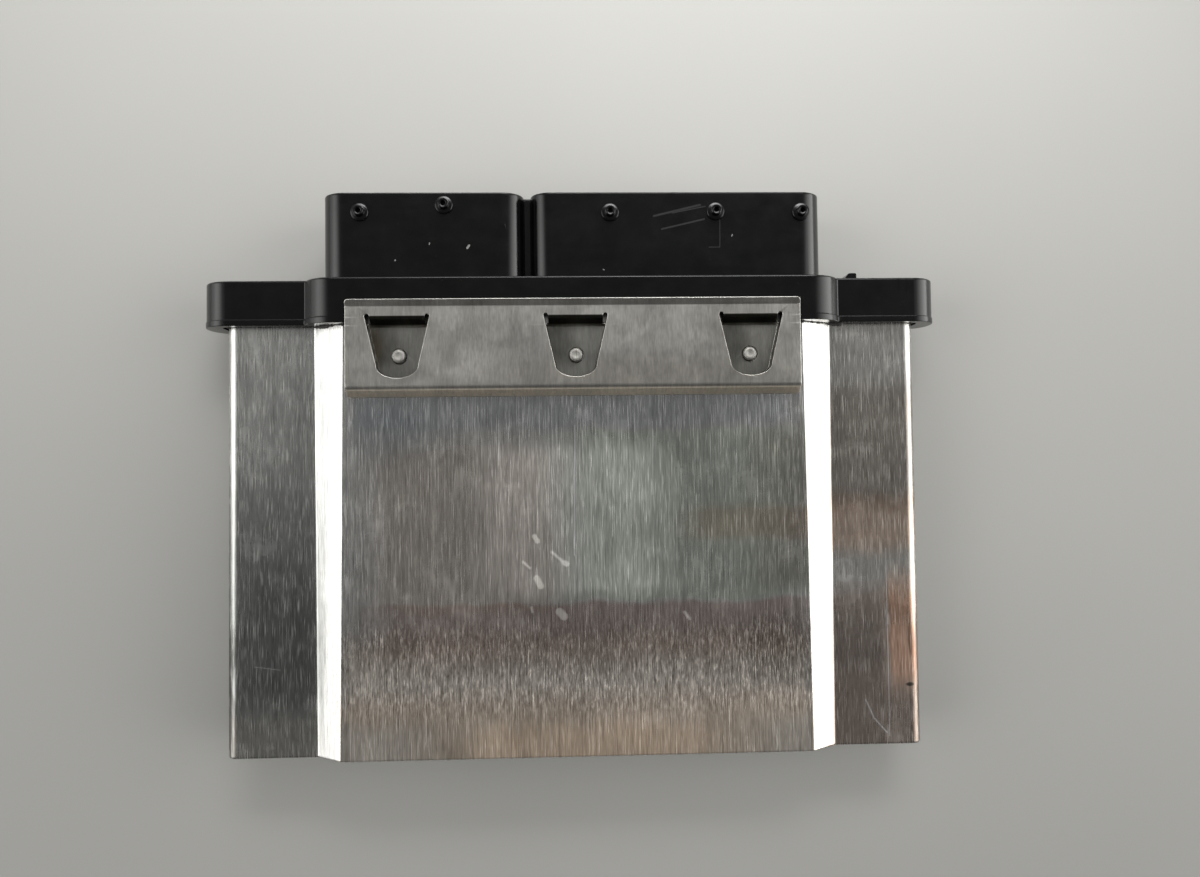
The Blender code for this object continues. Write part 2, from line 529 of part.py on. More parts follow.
def make_header():
    edge = FLANGE_FRONT_BREAK
    header = loft("connector_header", (
        (FLANGE_BACK_Y, flange_outline(RIM_PROUD)), (FLANGE_BACK_Y + RIM_WIDTH, flange_outline(RIM_PROUD)),
        (FLANGE_BACK_Y + RIM_WIDTH + RIM_PROUD, flange_outline(0)), (FLANGE_FRONT_Y - edge, flange_outline(0)),
        (FLANGE_FRONT_Y, flange_outline(-edge))), "Y", BLACK_MOULDING, SMOOTH_DEGREES)
    past_back = FLANGE_BACK_Y - PAST
    groove = prism("header_groove", hat_outline(grown(MOUTH_SECTION, GROOVE_CLEARANCE)), past_back, END_WALL_Y)
    combine(header, groove, "DIFFERENCE")

    inner = grown(MOUTH_SECTION, -CAN_WALL - COLLAR_CLEARANCE)
    inner["half_width"] = RIB_X - COLLAR_CLEARANCE
    collar = tube("header_collar", hat_outline(inner), hat_outline(grown(inner, -COLLAR_WALL)),
                  END_WALL_Y - COLLAR_LENGTH, END_WALL_Y + SEAM)
    combine(header, collar, "UNION")

    arm_low = MID_Z - inner["wing"]
    arms, holes = [], []
    for side in (-1, 1):
        x = side * ARM_X
        arms.append(box("arm", (x - ARM_WIDTH / 2, ARM_BACK_Y, arm_low + SEAM),
                        (x + ARM_WIDTH / 2, END_WALL_Y + SEAM, BOARD_BOTTOM_Z - GAP)))
        hole = (SCREW_RADIUS + GAP, arm_low - SEAM), (SCREW_RADIUS + GAP, BOARD_BOTTOM_Z)
        holes.append(turned("hole", hole, (x, SCREW_Y), SCREW_SIDES))
    combine(header, merged("header_arms", arms), "UNION")
    combine(header, merged("header_arm_holes", holes), "DIFFERENCE")

    shroud = prism("header_shrouds", shroud_outline(), SOCKET_FLOOR_Y - SEAM, SHROUD_FRONT_Y)
    combine(header, shroud, "UNION")
    hollows = []
    for left, right in socket_spans():
        outline = rounded_box_outline(left, right, SHROUD_BOTTOM_Z + SHROUD_WALL, SHROUD_TOP_Z - SHROUD_WALL,
                                      SOCKET_RADIUS)
        hollows.append(prism("hollow", outline, SOCKET_FLOOR_Y, SHROUD_FRONT_Y + PAST))
    combine(header, merged("header_sockets", hollows), "DIFFERENCE")

    windows = []
    for left, right, half in carrier_spans().values():
        windows.append(box("window", (left - GAP, END_WALL_Y - PAST, MID_Z - half - GAP),
                           (right + GAP, SOCKET_FLOOR_Y + PAST, MID_Z + half + GAP)))
    combine(header, merged("header_carrier_windows", windows), "DIFFERENCE")

    pockets = []
    for x in WINDOW_PLACES:
        half = WINDOW_HALF_FRONT + POCKET_SIDE
        pockets.append(box("pocket", (x - half, past_back, MID_Z),
                           (x + half, FLANGE_BACK_Y + POCKET_DEPTH, FLANGE_TOP_Z + PAST)))
    combine(header, merged("header_tongue_pockets", pockets), "DIFFERENCE")

    keys = []
    floor, front = SOCKET_FLOOR_Y - SEAM, SHROUD_FRONT_Y - KEY_RIB_SETBACK
    low_wall, high_wall = SHROUD_BOTTOM_Z + SHROUD_WALL, SHROUD_TOP_Z - SHROUD_WALL
    for x in SMALL_KEYS_X:
        keys.append(box("key", (x - KEY_RIB_WIDTH / 2, floor, low_wall - SEAM),
                        (x + KEY_RIB_WIDTH / 2, front, low_wall + KEY_RIB_HEIGHT)))
    for x in LARGE_KEYS_X:
        keys.append(box("key", (x - KEY_RIB_WIDTH / 2, floor, high_wall - KEY_RIB_HEIGHT),
                        (x + KEY_RIB_WIDTH / 2, front, high_wall + SEAM)))
    combine(header, merged("header_keys", keys), "UNION")

    pegs = []
    for place_x, place_y in PEG_PLACES:
        top = SHROUD_TOP_Z + PEG_HEIGHT
        profile = ((PEG_FOOT_RADIUS, SHROUD_TOP_Z - PEG_ROOT), (PEG_FOOT_RADIUS, SHROUD_TOP_Z + PEG_FOOT_HEIGHT),
                   (PEG_RADIUS, SHROUD_TOP_Z + PEG_FOOT_HEIGHT), (PEG_RADIUS, top),
                   (PEG_HOLE_RADIUS, top), (PEG_HOLE_RADIUS, top - PEG_HOLE_DEPTH))
        pegs.append(turned("peg", profile, (place_x, place_y), PEG_SIDES))
    combine(header, merged("header_pegs", pegs), "UNION")

    nub_top = MID_Z + CAN_WING_HALF + FLANGE_OVER_CAN - NUB_BELOW_TOP
    nub_plan = ((NUB_LEFT, FLANGE_FRONT_Y - SEAM), (NUB_RIGHT, FLANGE_FRONT_Y - SEAM),
                (NUB_RIGHT, FLANGE_FRONT_Y + NUB_OUT), (NUB_LEFT + NUB_SLANT, FLANGE_FRONT_Y + NUB_OUT))
    combine(header, prism("header_nub", nub_plan, nub_top - NUB_HEIGHT, nub_top, "Z"), "UNION")


# Sealant bead between the can and the flange's groove
def make_seal():
    back = FLANGE_BACK_Y + SEAL_SETBACK
    outer = hat_outline(grown(MOUTH_SECTION, GROOVE_CLEARANCE - GAP))
    inner = hat_outline(grown(MOUTH_SECTION, GAP))
    bead = tube("header_seal", outer, inner, back, back + SEAL_LENGTH, SEALANT, SMOOTH_DEGREES)
    notches = []
    for x in WINDOW_PLACES:
        half = WINDOW_HALF_FRONT + POCKET_SIDE
        notches.append(box("notch", (x - half, back - PAST, MID_Z),
                           (x + half, FLANGE_BACK_Y + POCKET_DEPTH + GAP, FLANGE_TOP_Z)))
    combine(bead, merged("seal_notches", notches), "DIFFERENCE")


# Pins, fused to the carrier that holds them
def pin_carrier(name, span, columns, rows, pitches, pin, lead, material):
    """Carrier plate with a field of pins; each pin has a tapered tip and a tail bent onto the board."""
    left, right, half = span
    column_pitch, row_pitch = pitches
    width, height = pin
    middle = (left + right) / 2
    front_y = SOCKET_FLOOR_Y + CARRIER_PROUD
    back_y = END_WALL_Y
    mesh = bmesh.new()

    def lines(centre, count, pitch, low, high):
        inside = [centre + (index - count / 2) * pitch for index in range(1, count)]
        return [low, *inside, high]

    x_lines = lines(middle, columns, column_pitch, left, right)
    z_lines = lines(MID_Z, rows, row_pitch, MID_Z - half, MID_Z + half)

    def face_grid(y):
        return [[mesh.verts.new((x, y, z)) for z in z_lines] for x in x_lines]

    def ring(x, y, z, across, up):
        places = ((-across, -up), (across, -up), (across, up), (-across, up))
        return [mesh.verts.new((x + dx / 2, y, z + dz / 2)) for dx, dz in places]

    def bridge(first, second):
        for index in range(4):
            after = (index + 1) % 4
            mesh.faces.new((first[index], first[after], second[after], second[index]))

    front, back = face_grid(front_y), face_grid(back_y)
    for column in range(columns):
        x = middle + (column - (columns - 1) / 2) * column_pitch
        for row in range(rows):
            z = MID_Z + (row - (rows - 1) / 2) * row_pitch
            cells = []
            for grid in (front, back):
                cells.append([grid[column][row], grid[column + 1][row],
                              grid[column + 1][row + 1], grid[column][row + 1]])
            root = ring(x, front_y, z, width, height)
            shank = ring(x, PIN_TIP_Y - PIN_TAPER, z, width, height)
            tip = ring(x, PIN_TIP_Y, z, width * PIN_TIP / PIN, height * PIN_TIP / PIN)
            bridge(cells[0], root)
            bridge(root, shank)
            bridge(shank, tip)
            mesh.faces.new(tip)

            upper_row = row >= rows / 2
            outward = row - rows // 2 if upper_row else (rows - 1) // 2 - row
            bend_y = END_WALL_Y - lead - TAIL_STEP * (2 * outward + (0 if upper_row else 1))
            turn = 1 if upper_row else -1
            end_z = BOARD_TOP_Z + GAP if upper_row else BOARD_BOTTOM_Z - GAP
            exit_ring = ring(x, back_y, z, width, height)
            corner, foot = [], []
            for dx, dz in ((-width, -height), (width, -height), (width, height), (-width, height)):
                y = bend_y - turn * dz / 2
                corner.append(mesh.verts.new((x + dx / 2, y, z + dz / 2)))
                foot.append(mesh.verts.new((x + dx / 2, y, end_z)))
            bridge(cells[1], exit_ring)
            bridge(exit_ring, corner)
            bridge(corner, foot)
            mesh.faces.new(foot)

    for grid_front, grid_back in ((front[0], back[0]), (front[-1], back[-1]),
                                  ([line[0] for line in front], [line[0] for line in back]),
                                  ([line[-1] for line in front], [line[-1] for line in back])):
        for index in range(len(grid_front) - 1):
            mesh.faces.new((grid_front[index], grid_front[index + 1], grid_back[index + 1], grid_back[index]))
    solid_object(name, mesh, material)


def make_pins():
    spans = carrier_spans()
    pin_carrier("small_socket_pins", spans["small"], SMALL_COLUMNS, PIN_ROWS, (SMALL_PITCH, PIN_ROW_PITCH),
                (PIN, PIN), FIRST_TAIL, PIN_METAL)
    pin_carrier("large_socket_pins", spans["large"], LARGE_COLUMNS, PIN_ROWS, (LARGE_PITCH, PIN_ROW_PITCH),
                (PIN, PIN), FIRST_TAIL, PIN_METAL)
    pin_carrier("power_pins", spans["power"], POWER_COLUMNS, POWER_ROWS, (POWER_PITCH, POWER_ROW_PITCH),
                (POWER_PIN_WIDTH, POWER_PIN_THICKNESS), FIRST_TAIL, PIN_METAL)


# Circuit board, which slides in the can's ribs and is narrower where it passes the collar
def make_board():
    back = CAN_BACK_Y + CAN_BACK_WALL + BOARD_TO_BACK_WALL
    front = END_WALL_Y - BOARD_TO_END_WALL
    step = END_WALL_Y - COLLAR_LENGTH - BOARD_TO_BACK_WALL
    wide = CAN_HALF_WIDTH - CAN_WALL - BOARD_SIDE_GAP
    narrow = RIB_X - COLLAR_CLEARANCE - COLLAR_WALL - BOARD_SIDE_GAP
    corner = BOARD_CORNER
    plan = rounded(((-wide, back, corner), (wide, back, corner), (wide, step, corner), (narrow, step, 0),
                    (narrow, front, corner), (-narrow, front, corner), (-narrow, step, 0),
                    (-wide, step, corner)), 2)
    board = prism("circuit_board", plan, BOARD_BOTTOM_Z, BOARD_TOP_Z, "Z", BOARD_GREEN)
    holes = []
    for side in (-1, 1):
        depth = (SCREW_RADIUS + GAP, BOARD_BOTTOM_Z - PAST), (SCREW_RADIUS + GAP, BOARD_TOP_Z + PAST)
        holes.append(turned("hole", depth, (side * ARM_X, SCREW_Y), SCREW_SIDES))
    combine(board, merged("board_holes", holes), "DIFFERENCE")

    tip = BOARD_BOTTOM_Z - SCREW_BELOW_BOARD - SCREW_POINT / 2
    head = SEAT_Z + SCREW_HEAD_HEIGHT
    profile = ((SCREW_RADIUS - SCREW_POINT / 2, tip), (SCREW_RADIUS, tip + SCREW_POINT), (SCREW_RADIUS, SEAT_Z),
               (SCREW_HEAD_RADIUS, SEAT_Z), (SCREW_HEAD_RADIUS, head - SCREW_HEAD_EDGE),
               (SCREW_HEAD_RADIUS - SCREW_HEAD_EDGE, head), (SCREW_DRIVE_RADIUS, head),
               (SCREW_DRIVE_RADIUS, head - SCREW_DRIVE_DEPTH))
    for side, name in ((-1, "board_screw_left"), (1, "board_screw_right")):
        turned(name, profile, (side * ARM_X, SCREW_Y), SCREW_SIDES, SCREW_STEEL, SMOOTH_DEGREES)


# Components on the board
def chip(name, place_x, place_y, length, width, height, lead_count, material=CHIP_BLACK):
    """Moulded chip with drafted sides and a row of flat leads along its two long sides."""
    seat = SEAT_Z
    waist = seat + height * 0.45
    draft = height * 0.12

    def plan(inset):
        x, y = length / 2 - inset, width / 2 - inset
        return ((place_x - x, place_y - y), (place_x + x, place_y - y),
                (place_x + x, place_y + y), (place_x - x, place_y + y))

    standoff = CHIP_STANDOFF if lead_count else 0.0
    body = loft(name, ((seat + standoff, plan(draft)), (waist, plan(0)), (seat + height, plan(draft))),
                "Z", material)
    if not lead_count:
        return
    pitch = length / (lead_count + 0.5)
    leads = []
    for side in (-1, 1):
        inner = place_y + side * (width / 2 - draft - LEAD_ROOT)
        outer = place_y + side * (width / 2 + LEAD_OUT)
        for index in range(lead_count):
            x = place_x + (index - (lead_count - 1) / 2) * pitch
            leads.append(box("lead", (x - pitch / 4, min(inner, outer), seat),
                             (x + pitch / 4, max(inner, outer), seat + height * 0.25)))
    combine(body, merged(name + "_leads", leads), "UNION")


def block_outline(centre, length, width, radius):
    x, y = centre
    return rounded_box_outline(x - length / 2, x + length / 2, y - width / 2, y + width / 2, radius)


def make_components():
    for name, (x, y, length, width, height) in CHIPS.items():
        chip(name, x, y, length, width, height, CHIP_LEADS[name])
    for index in range(SWITCHES):
        chip("ignition_switch_%d" % (index + 1), SWITCH_X, SWITCH_FIRST_Y + index * SWITCH_PITCH,
             SWITCH_LENGTH, SWITCH_WIDTH, SWITCH_HEIGHT, 1)

    base, top = SEAT_Z + CAPACITOR_BASE, SEAT_Z + CAPACITOR_HEIGHT
    radius, groove, edge = CAPACITOR_RADIUS, CAPACITOR_GROOVE, CAPACITOR_EDGE
    profile = ((radius, SEAT_Z), (radius, base), (radius - groove, base + groove), (radius, base + 2 * groove),
               (radius, top - edge), (radius - edge, top))
    for index in range(CAPACITORS):
        place_y = CAPACITOR_FIRST_Y + index * CAPACITOR_PITCH
        turned("buffer_capacitor_%d" % (index + 1), profile, (CAPACITOR_X, place_y), CAPACITOR_SIDES,
               CAPACITOR_SLEEVE, SMOOTH_DEGREES)

    coil = block_outline(COIL_PLACE, COIL_WIDTH, COIL_WIDTH, COIL_CORNER)
    lid_width = COIL_WIDTH - 2 * COIL_EDGE
    lid = block_outline(COIL_PLACE, lid_width, lid_width, COIL_CORNER - COIL_EDGE / 2)
    loft("boost_coil", ((SEAT_Z, coil), (SEAT_Z + COIL_HEIGHT - COIL_EDGE, coil), (SEAT_Z + COIL_HEIGHT, lid)),
         "Z", COIL_GREY)
    crystal = block_outline(CRYSTAL_PLACE, CRYSTAL_LENGTH, CRYSTAL_WIDTH, CRYSTAL_WIDTH / 2 * 0.96)
    prism("clock_crystal", crystal, SEAT_Z, SEAT_Z + CRYSTAL_HEIGHT, "Z", CAPACITOR_SLEEVE, SMOOTH_DEGREES)

    wing_floor = MID_Z - CAN_WING_HALF + CAN_WALL
    row = (SWITCHES - 1) * SWITCH_PITCH
    pad_length = row + 2 * PAD_PAST_SWITCHES
    for name, side in (("thermal_pad_left", -1), ("thermal_pad_right", 1)):
        plan = block_outline((side * SWITCH_X, SWITCH_FIRST_Y + row / 2), PAD_WIDTH, pad_length, PAD_CORNER)
        prism(name, plan, wing_floor + GAP, BOARD_BOTTOM_Z - GAP, "Z", PAD_BLUE, SMOOTH_DEGREES)


# Retaining clip: a sheet with a raised lip and a bent heel, and three lanced tongues
def sheet_outline(path, thickness):
    """Outline in Y and Z of a bent sheet whose middle follows an open path of (y, z, radius)."""
    middle = []
    for index, (y, z, radius) in enumerate(path):
        if index in (0, len(path) - 1):
            middle.append(Vector((y, z)))
            continue
        before, after = path[index - 1], path[index + 1]
        bend = rounded(((before[0], before[1], 0), (y, z, radius), (after[0], after[1], 0)))
        middle.extend(Vector(point) for point in bend[1:-1])
    sides = ([], [])
    for index, point in enumerate(middle):
        ahead = middle[min(index + 1, len(middle) - 1)] - point
        behind = point - middle[max(index - 1, 0)]
        if ahead.length > 0:
            ahead.normalize()
        if behind.length > 0:
            behind.normalize()
        along = (ahead + behind).normalized()
        normal = Vector((-along.y, along.x))
        spread = thickness / 2
        if ahead.length > 0 and behind.length > 0:
            spread /= max(0.5, normal.dot(Vector((-ahead.y, ahead.x))))
        sides[0].append(tuple(point + normal * spread))
        sides[1].append(tuple(point - normal * spread))
    return sides[0] + sides[1][::-1]


def window_plan(x, inset, front_y):
    """Window seen from above: straight front, slanted sides and a round back end."""
    slant = (WINDOW_HALF_FRONT - WINDOW_HALF_BACK) / (WINDOW_FRONT_Y - WINDOW_SIDE_END_Y)
    half_front = WINDOW_HALF_FRONT - (WINDOW_FRONT_Y - front_y) * slant - inset
    points = [(x + half_front, front_y), (x - half_front, front_y)]
    half = WINDOW_HALF_BACK - inset
    depth = WINDOW_SIDE_END_Y - WINDOW_BACK_Y - inset
    for step in range(WINDOW_ARC_STEPS + 1):
        angle = math.pi * step / WINDOW_ARC_STEPS
        points.append((x - half * math.cos(angle), WINDOW_SIDE_END_Y - depth * math.sin(angle)))
    return points


def corner_waste(side):
    """What the press cuts off a front corner of the sheet to round it, seen from above."""
    centre_x, centre_y = side * (CLIP_HALF_WIDTH - CLIP_CORNER), CLIP_LIP_Y - CLIP_CORNER
    past_x, past_y = side * (CLIP_HALF_WIDTH + PAST), CLIP_LIP_Y + PAST
    waste = [(past_x, centre_y), (past_x, past_y), (centre_x, past_y)]
    for step in range(NOTCH_STEPS + 1):
        angle = math.pi / 2 * (1 - step / NOTCH_STEPS)
        waste.append((centre_x + side * CLIP_CORNER * math.cos(angle), centre_y + CLIP_CORNER * math.sin(angle)))
    return waste


def make_clip():
    flat_z = FLANGE_TOP_Z + GAP + CLIP_SHEET / 2
    heel_z = CAN_TOP_Z + GAP
    path = ((CLIP_HEEL_Y, heel_z, 0), (CLIP_BEND_Y, flat_z, CLIP_BEND_RADIUS),
            (CLIP_LIP_START_Y, flat_z, CLIP_BEND_RADIUS), (CLIP_LIP_Y, flat_z + CLIP_LIP_RISE, 0))
    clip = prism("retaining_clip", sheet_outline(path, CLIP_SHEET), -CLIP_HALF_WIDTH, CLIP_HALF_WIDTH, "X",
                 SPRING_STEEL, SMOOTH_DEGREES)
    top, low = flat_z + CLIP_LIP_RISE + PAST, CAN_TOP_Z - PAST
    openings = []
    for x in WINDOW_PLACES:
        plan = window_plan(x, 0, WINDOW_FRONT_Y)
        notched = []
        for centre_x in (plan[0][0] - NOTCH_RADIUS, plan[1][0] + NOTCH_RADIUS):
            for step in range(NOTCH_STEPS + 1):
                angle = math.pi * step / NOTCH_STEPS
                notched.append((centre_x + NOTCH_RADIUS * math.cos(angle),
                                WINDOW_FRONT_Y + NOTCH_RADIUS * math.sin(angle)))
        openings.append(prism("opening", notched + plan[2:], low, top, "Z"))
    for side in (-1, 1):
        openings.append(prism("corner", corner_waste(side), low, top, "Z"))
    combine(clip, merged("clip_windows", openings), "DIFFERENCE")

    tongue_z = CAN_TOP_Z + GAP + CLIP_SHEET / 2
    bend = TONGUE_INNER_RADIUS + CLIP_SHEET / 2
    drop_y = WINDOW_FRONT_Y - TONGUE_DROP_LENGTH
    tongue_path = ((WINDOW_FRONT_Y, flat_z, 0), (WINDOW_FRONT_Y - bend * 0.6, flat_z, bend),
                   (drop_y, tongue_z, bend), (WINDOW_BACK_Y - PAST, tongue_z, 0))
    tongues = []
    for x in WINDOW_PLACES:
        reach = WINDOW_HALF_FRONT + PAST
        tongue = prism("tongue", sheet_outline(tongue_path, CLIP_SHEET), x - reach, x + reach, "X")
        wide = window_plan(x, KERF, drop_y + CLIP_SHEET)
        neck = WINDOW_HALF_FRONT - 2 * NOTCH_RADIUS
        start = WINDOW_FRONT_Y + PAST
        plan = [(x + neck, wide[0][1]), (x + neck, start), (x - neck, start), (x - neck, wide[1][1])]
        plan = [wide[0], *plan, wide[1], *wide[2:]]
        combine(tongue, prism("tongue_plan", plan, low, top, "Z"), "INTERSECT")
        hole = ((STUD_RADIUS + STUD_HOLE_CLEARANCE, low), (STUD_RADIUS + STUD_HOLE_CLEARANCE, top))
        combine(tongue, turned("tongue_hole", hole, (x + STUD_HOLE_SHIFT, STUD_Y), STUD_SIDES), "DIFFERENCE")
        tongues.append(tongue)
    for tongue in tongues:
        combine(clip, tongue, "UNION")


make_can()
make_header()
make_seal()
make_pins()
make_board()
make_components()
make_clip()
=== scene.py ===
"""Engine control unit seen from above on a pale table: drawn aluminium can, black header, steel clip."""

import math
import random

import bmesh
import bpy
from mathutils import Matrix, Vector, geometry


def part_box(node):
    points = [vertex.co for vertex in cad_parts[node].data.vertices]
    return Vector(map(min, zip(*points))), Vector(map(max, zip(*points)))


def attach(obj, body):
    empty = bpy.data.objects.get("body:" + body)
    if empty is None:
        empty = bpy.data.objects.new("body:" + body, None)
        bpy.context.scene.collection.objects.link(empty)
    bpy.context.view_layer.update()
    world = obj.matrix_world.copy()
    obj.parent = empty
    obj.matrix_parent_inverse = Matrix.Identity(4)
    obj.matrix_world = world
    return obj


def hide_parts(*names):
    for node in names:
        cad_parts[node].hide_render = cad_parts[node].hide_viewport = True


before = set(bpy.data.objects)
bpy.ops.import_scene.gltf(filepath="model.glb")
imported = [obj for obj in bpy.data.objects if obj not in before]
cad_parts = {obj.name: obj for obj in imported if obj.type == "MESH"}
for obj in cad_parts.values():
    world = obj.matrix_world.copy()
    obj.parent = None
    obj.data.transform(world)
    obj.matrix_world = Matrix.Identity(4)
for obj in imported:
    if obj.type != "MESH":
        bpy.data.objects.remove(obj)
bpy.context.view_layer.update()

# Camera: hand-held phone about a quarter of a metre above the unit, looking almost straight down.
# Its place, lens and three small tilts come from the straight edges of the can, flange and sockets.
CAMERA_PLACE = Vector((-0.001795, 0.002322, 0.26267))
CAMERA_PITCH, CAMERA_YAW, CAMERA_ROLL = -0.0294, 0.0349, 0.0115
LENS_PIXELS = 883.5
IMAGE_WIDTH = 1200
camera_data = bpy.data.cameras.new("camera")
camera_data.sensor_width = 36.0
camera_data.lens = camera_data.sensor_width * LENS_PIXELS / IMAGE_WIDTH
camera_data.clip_start, camera_data.clip_end = 0.01, 20.0
camera = bpy.data.objects.new("camera", camera_data)
bpy.context.scene.collection.objects.link(camera)
turn = (Matrix.Rotation(CAMERA_ROLL, 3, "Z") @ Matrix.Rotation(CAMERA_YAW, 3, "Y")
        @ Matrix.Rotation(CAMERA_PITCH, 3, "X"))
camera.matrix_world = Matrix.Translation(CAMERA_PLACE) @ turn.transposed().to_4x4()
bpy.context.scene.camera = camera
bpy.context.scene.view_settings.view_transform = "Standard"


# Room: dim overhead and behind, where the flat metal looks up into it, and pale at the horizon, with a
# bright window far off on either side, the right one the brighter. A lamp in front lights the table.
def link(tree, out, into):
    tree.links.new(out, into)


def feed(tree, socket, value):
    """Sets an input to a number, a grey, a colour or another node's output."""
    if isinstance(value, bpy.types.NodeSocket):
        link(tree, value, socket)
    elif socket.type == "RGBA":
        colour = (value, value, value) if isinstance(value, (int, float)) else value
        socket.default_value = (*colour, 1.0)
    else:
        socket.default_value = value


def wired(tree, kind, inputs, output=0, **settings):
    """One output of a new node, whose inputs are values or other nodes' outputs."""
    node = tree.nodes.new(kind)
    for name, value in settings.items():
        setattr(node, name, value)
    for socket, value in inputs.items():
        feed(tree, node.inputs[socket], value)
    return node.outputs[output]


def maths(tree, operation, first, second=0.0, third=0.0, clamp=False):
    inputs = {0: first, 1: second, 2: third}
    return wired(tree, "ShaderNodeMath", inputs, operation=operation, use_clamp=clamp)


def times(tree, first, second):
    return maths(tree, "MULTIPLY", first, second)


def plus(tree, first, second):
    return maths(tree, "ADD", first, second)


def vector_maths(tree, operation, first, second=(0.0, 0.0, 0.0), scale=1.0):
    inputs = {0: first}
    if operation == "SCALE":
        inputs["Scale"] = scale
    elif operation != "LENGTH":
        inputs[1] = second
    output = "Value" if operation in ("DOT_PRODUCT", "LENGTH", "DISTANCE") else "Vector"
    return wired(tree, "ShaderNodeVectorMath", inputs, output, operation=operation)


def between(tree, value, low, high):
    """0 at low, 1 at high, level beyond both."""
    inputs = {"Value": value, "From Min": low, "From Max": high}
    return wired(tree, "ShaderNodeMapRange", inputs, "Result", interpolation_type="SMOOTHSTEP")


def ramp(tree, value, stops):
    """Colour Ramp output; each stop is (position, grey or colour)."""
    node = tree.nodes.new("ShaderNodeValToRGB")
    elements = node.color_ramp.elements
    while len(elements) < len(stops):
        elements.new(0.5)
    for element, (position, colour) in zip(elements, stops):
        element.position = position
        if isinstance(colour, (int, float)):
            colour = (colour, colour, colour)
        element.color = (*colour, 1.0)
    link(tree, value, node.inputs[0])
    return node.outputs[0]


def mixed(tree, factor, first, second, blend="MIX"):
    inputs = {0: factor, 6: first, 7: second}
    return wired(tree, "ShaderNodeMix", inputs, 2, data_type="RGBA", blend_type=blend)


def axes_of(tree, place):
    split = tree.nodes.new("ShaderNodeSeparateXYZ")
    link(tree, place, split.inputs[0])
    return split.outputs


world = bpy.data.worlds.new("room")
bpy.context.scene.world = world
world.use_nodes = True
room = world.node_tree
room.nodes.clear()
ROOM_TINT = (1.0, 0.998, 0.985)
RIGHT_WINDOW, LEFT_WINDOW, FRONT_WALL = 5.6, 3.8, 0.3
WINDOW_EDGE, WINDOW_FULL = 0.86, 0.97       # sideways share of a level look where a window starts, ends
side_x, side_y, up = axes_of(room, room.nodes.new("ShaderNodeTexCoord").outputs["Generated"])
level = maths(room, "SQRT", maths(room, "SUBTRACT", 1.001, times(room, up, up)))
bearing = maths(room, "DIVIDE", side_x, level)
overhead = ramp(room, up, ((0.0, 0.42), (0.25, 0.36), (0.6, 0.30), (0.86, 0.20), (1.0, 0.185)))
behind = ramp(room, plus(room, side_y, 1.0),
              ((0.0, 0.5), (0.2, 0.25), (0.38, 0.2), (0.75, 0.8), (1.0, 1.0)))
ceiling = times(room, overhead, maths(room, "MAXIMUM", behind, between(room, up, 0.4, 0.1)))
right_band = ramp(room, up, ((0.0, 0.7), (0.15, 1.0), (0.35, 0.85), (0.60, 0.55), (0.80, 0.18), (0.90, 0.0)))
left_band = ramp(room, up, ((0.0, 0.2), (0.25, 0.42), (0.48, 1.0), (0.66, 0.85), (0.80, 0.28), (0.88, 0.0)))
right_window = times(room, between(room, bearing, WINDOW_EDGE, WINDOW_FULL), RIGHT_WINDOW)
left_window = times(room, between(room, bearing, -WINDOW_EDGE, -WINDOW_FULL), LEFT_WINDOW)
windows = maths(room, "MULTIPLY_ADD", right_window, right_band, times(room, left_window, left_band))
wall = times(room, between(room, side_y, 0.3, 0.7), FRONT_WALL)
lit = plus(room, plus(room, windows, ceiling), wall)
background = wired(room, "ShaderNodeBackground", {0: mixed(room, 1.0, lit, ROOM_TINT, "MULTIPLY")})
link(room, background, room.nodes.new("ShaderNodeOutputWorld").inputs[0])


def soft_lamp(name, place, target, size, power, spread):
    data = bpy.data.lights.new(name, "AREA")
    data.shape = "RECTANGLE"
    data.size, data.size_y = size
    data.energy = power
    data.spread = math.radians(spread)
    lamp = bpy.data.objects.new(name, data)
    lamp.location = place
    lamp.rotation_euler = (Vector(target) - Vector(place)).to_track_quat("-Z", "Y").to_euler()
    bpy.context.scene.collection.objects.link(lamp)


soft_lamp("window_front", (0.03, 0.42, 0.30), (0.0, 0.20, 0.0), (0.5, 0.25), 0.60, 58.0)


# Table: a plain pale grey laminate, slightly cloudy. It carries the unit and is not part of it.
def new_material(name, metallic=0.0, specular=0.5):
    """Material, its tree and its Principled shader."""
    material = bpy.data.materials.new(name)
    material.use_nodes = True
    tree = material.node_tree
    shader = tree.nodes["Principled BSDF"]
    shader.inputs["Metallic"].default_value = metallic
    shader.inputs["Specular IOR Level"].default_value = specular
    return material, tree, shader


def object_place(tree, scale=(1.0, 1.0, 1.0), shift=(0.0, 0.0, 0.0)):
    """Object coordinates, stretched and shifted."""
    coordinates = tree.nodes.new("ShaderNodeTexCoord").outputs["Object"]
    return wired(tree, "ShaderNodeMapping", {"Vector": coordinates, "Scale": scale, "Location": shift})


def noise(tree, place, scale, detail=3.0, roughness=0.5, distortion=0.0):
    return wired(tree, "ShaderNodeTexNoise", {"Vector": place, "Scale": scale, "Detail": detail,
                                              "Roughness": roughness, "Distortion": distortion}, "Fac")


def surface(tree, shader, colour, roughness):
    feed(tree, shader.inputs["Base Color"], colour)
    feed(tree, shader.inputs["Roughness"], roughness)


def bump(tree, shader, height, distance, strength=1.0):
    inputs = {"Strength": strength, "Distance": distance, "Height": height}
    feed(tree, shader.inputs["Normal"], wired(tree, "ShaderNodeBump", inputs, "Normal"))


def rectangle(low_u, low_v, high_u, high_v):
    return [(low_u, low_v), (high_u, low_v), (high_u, high_v), (low_u, high_v)]


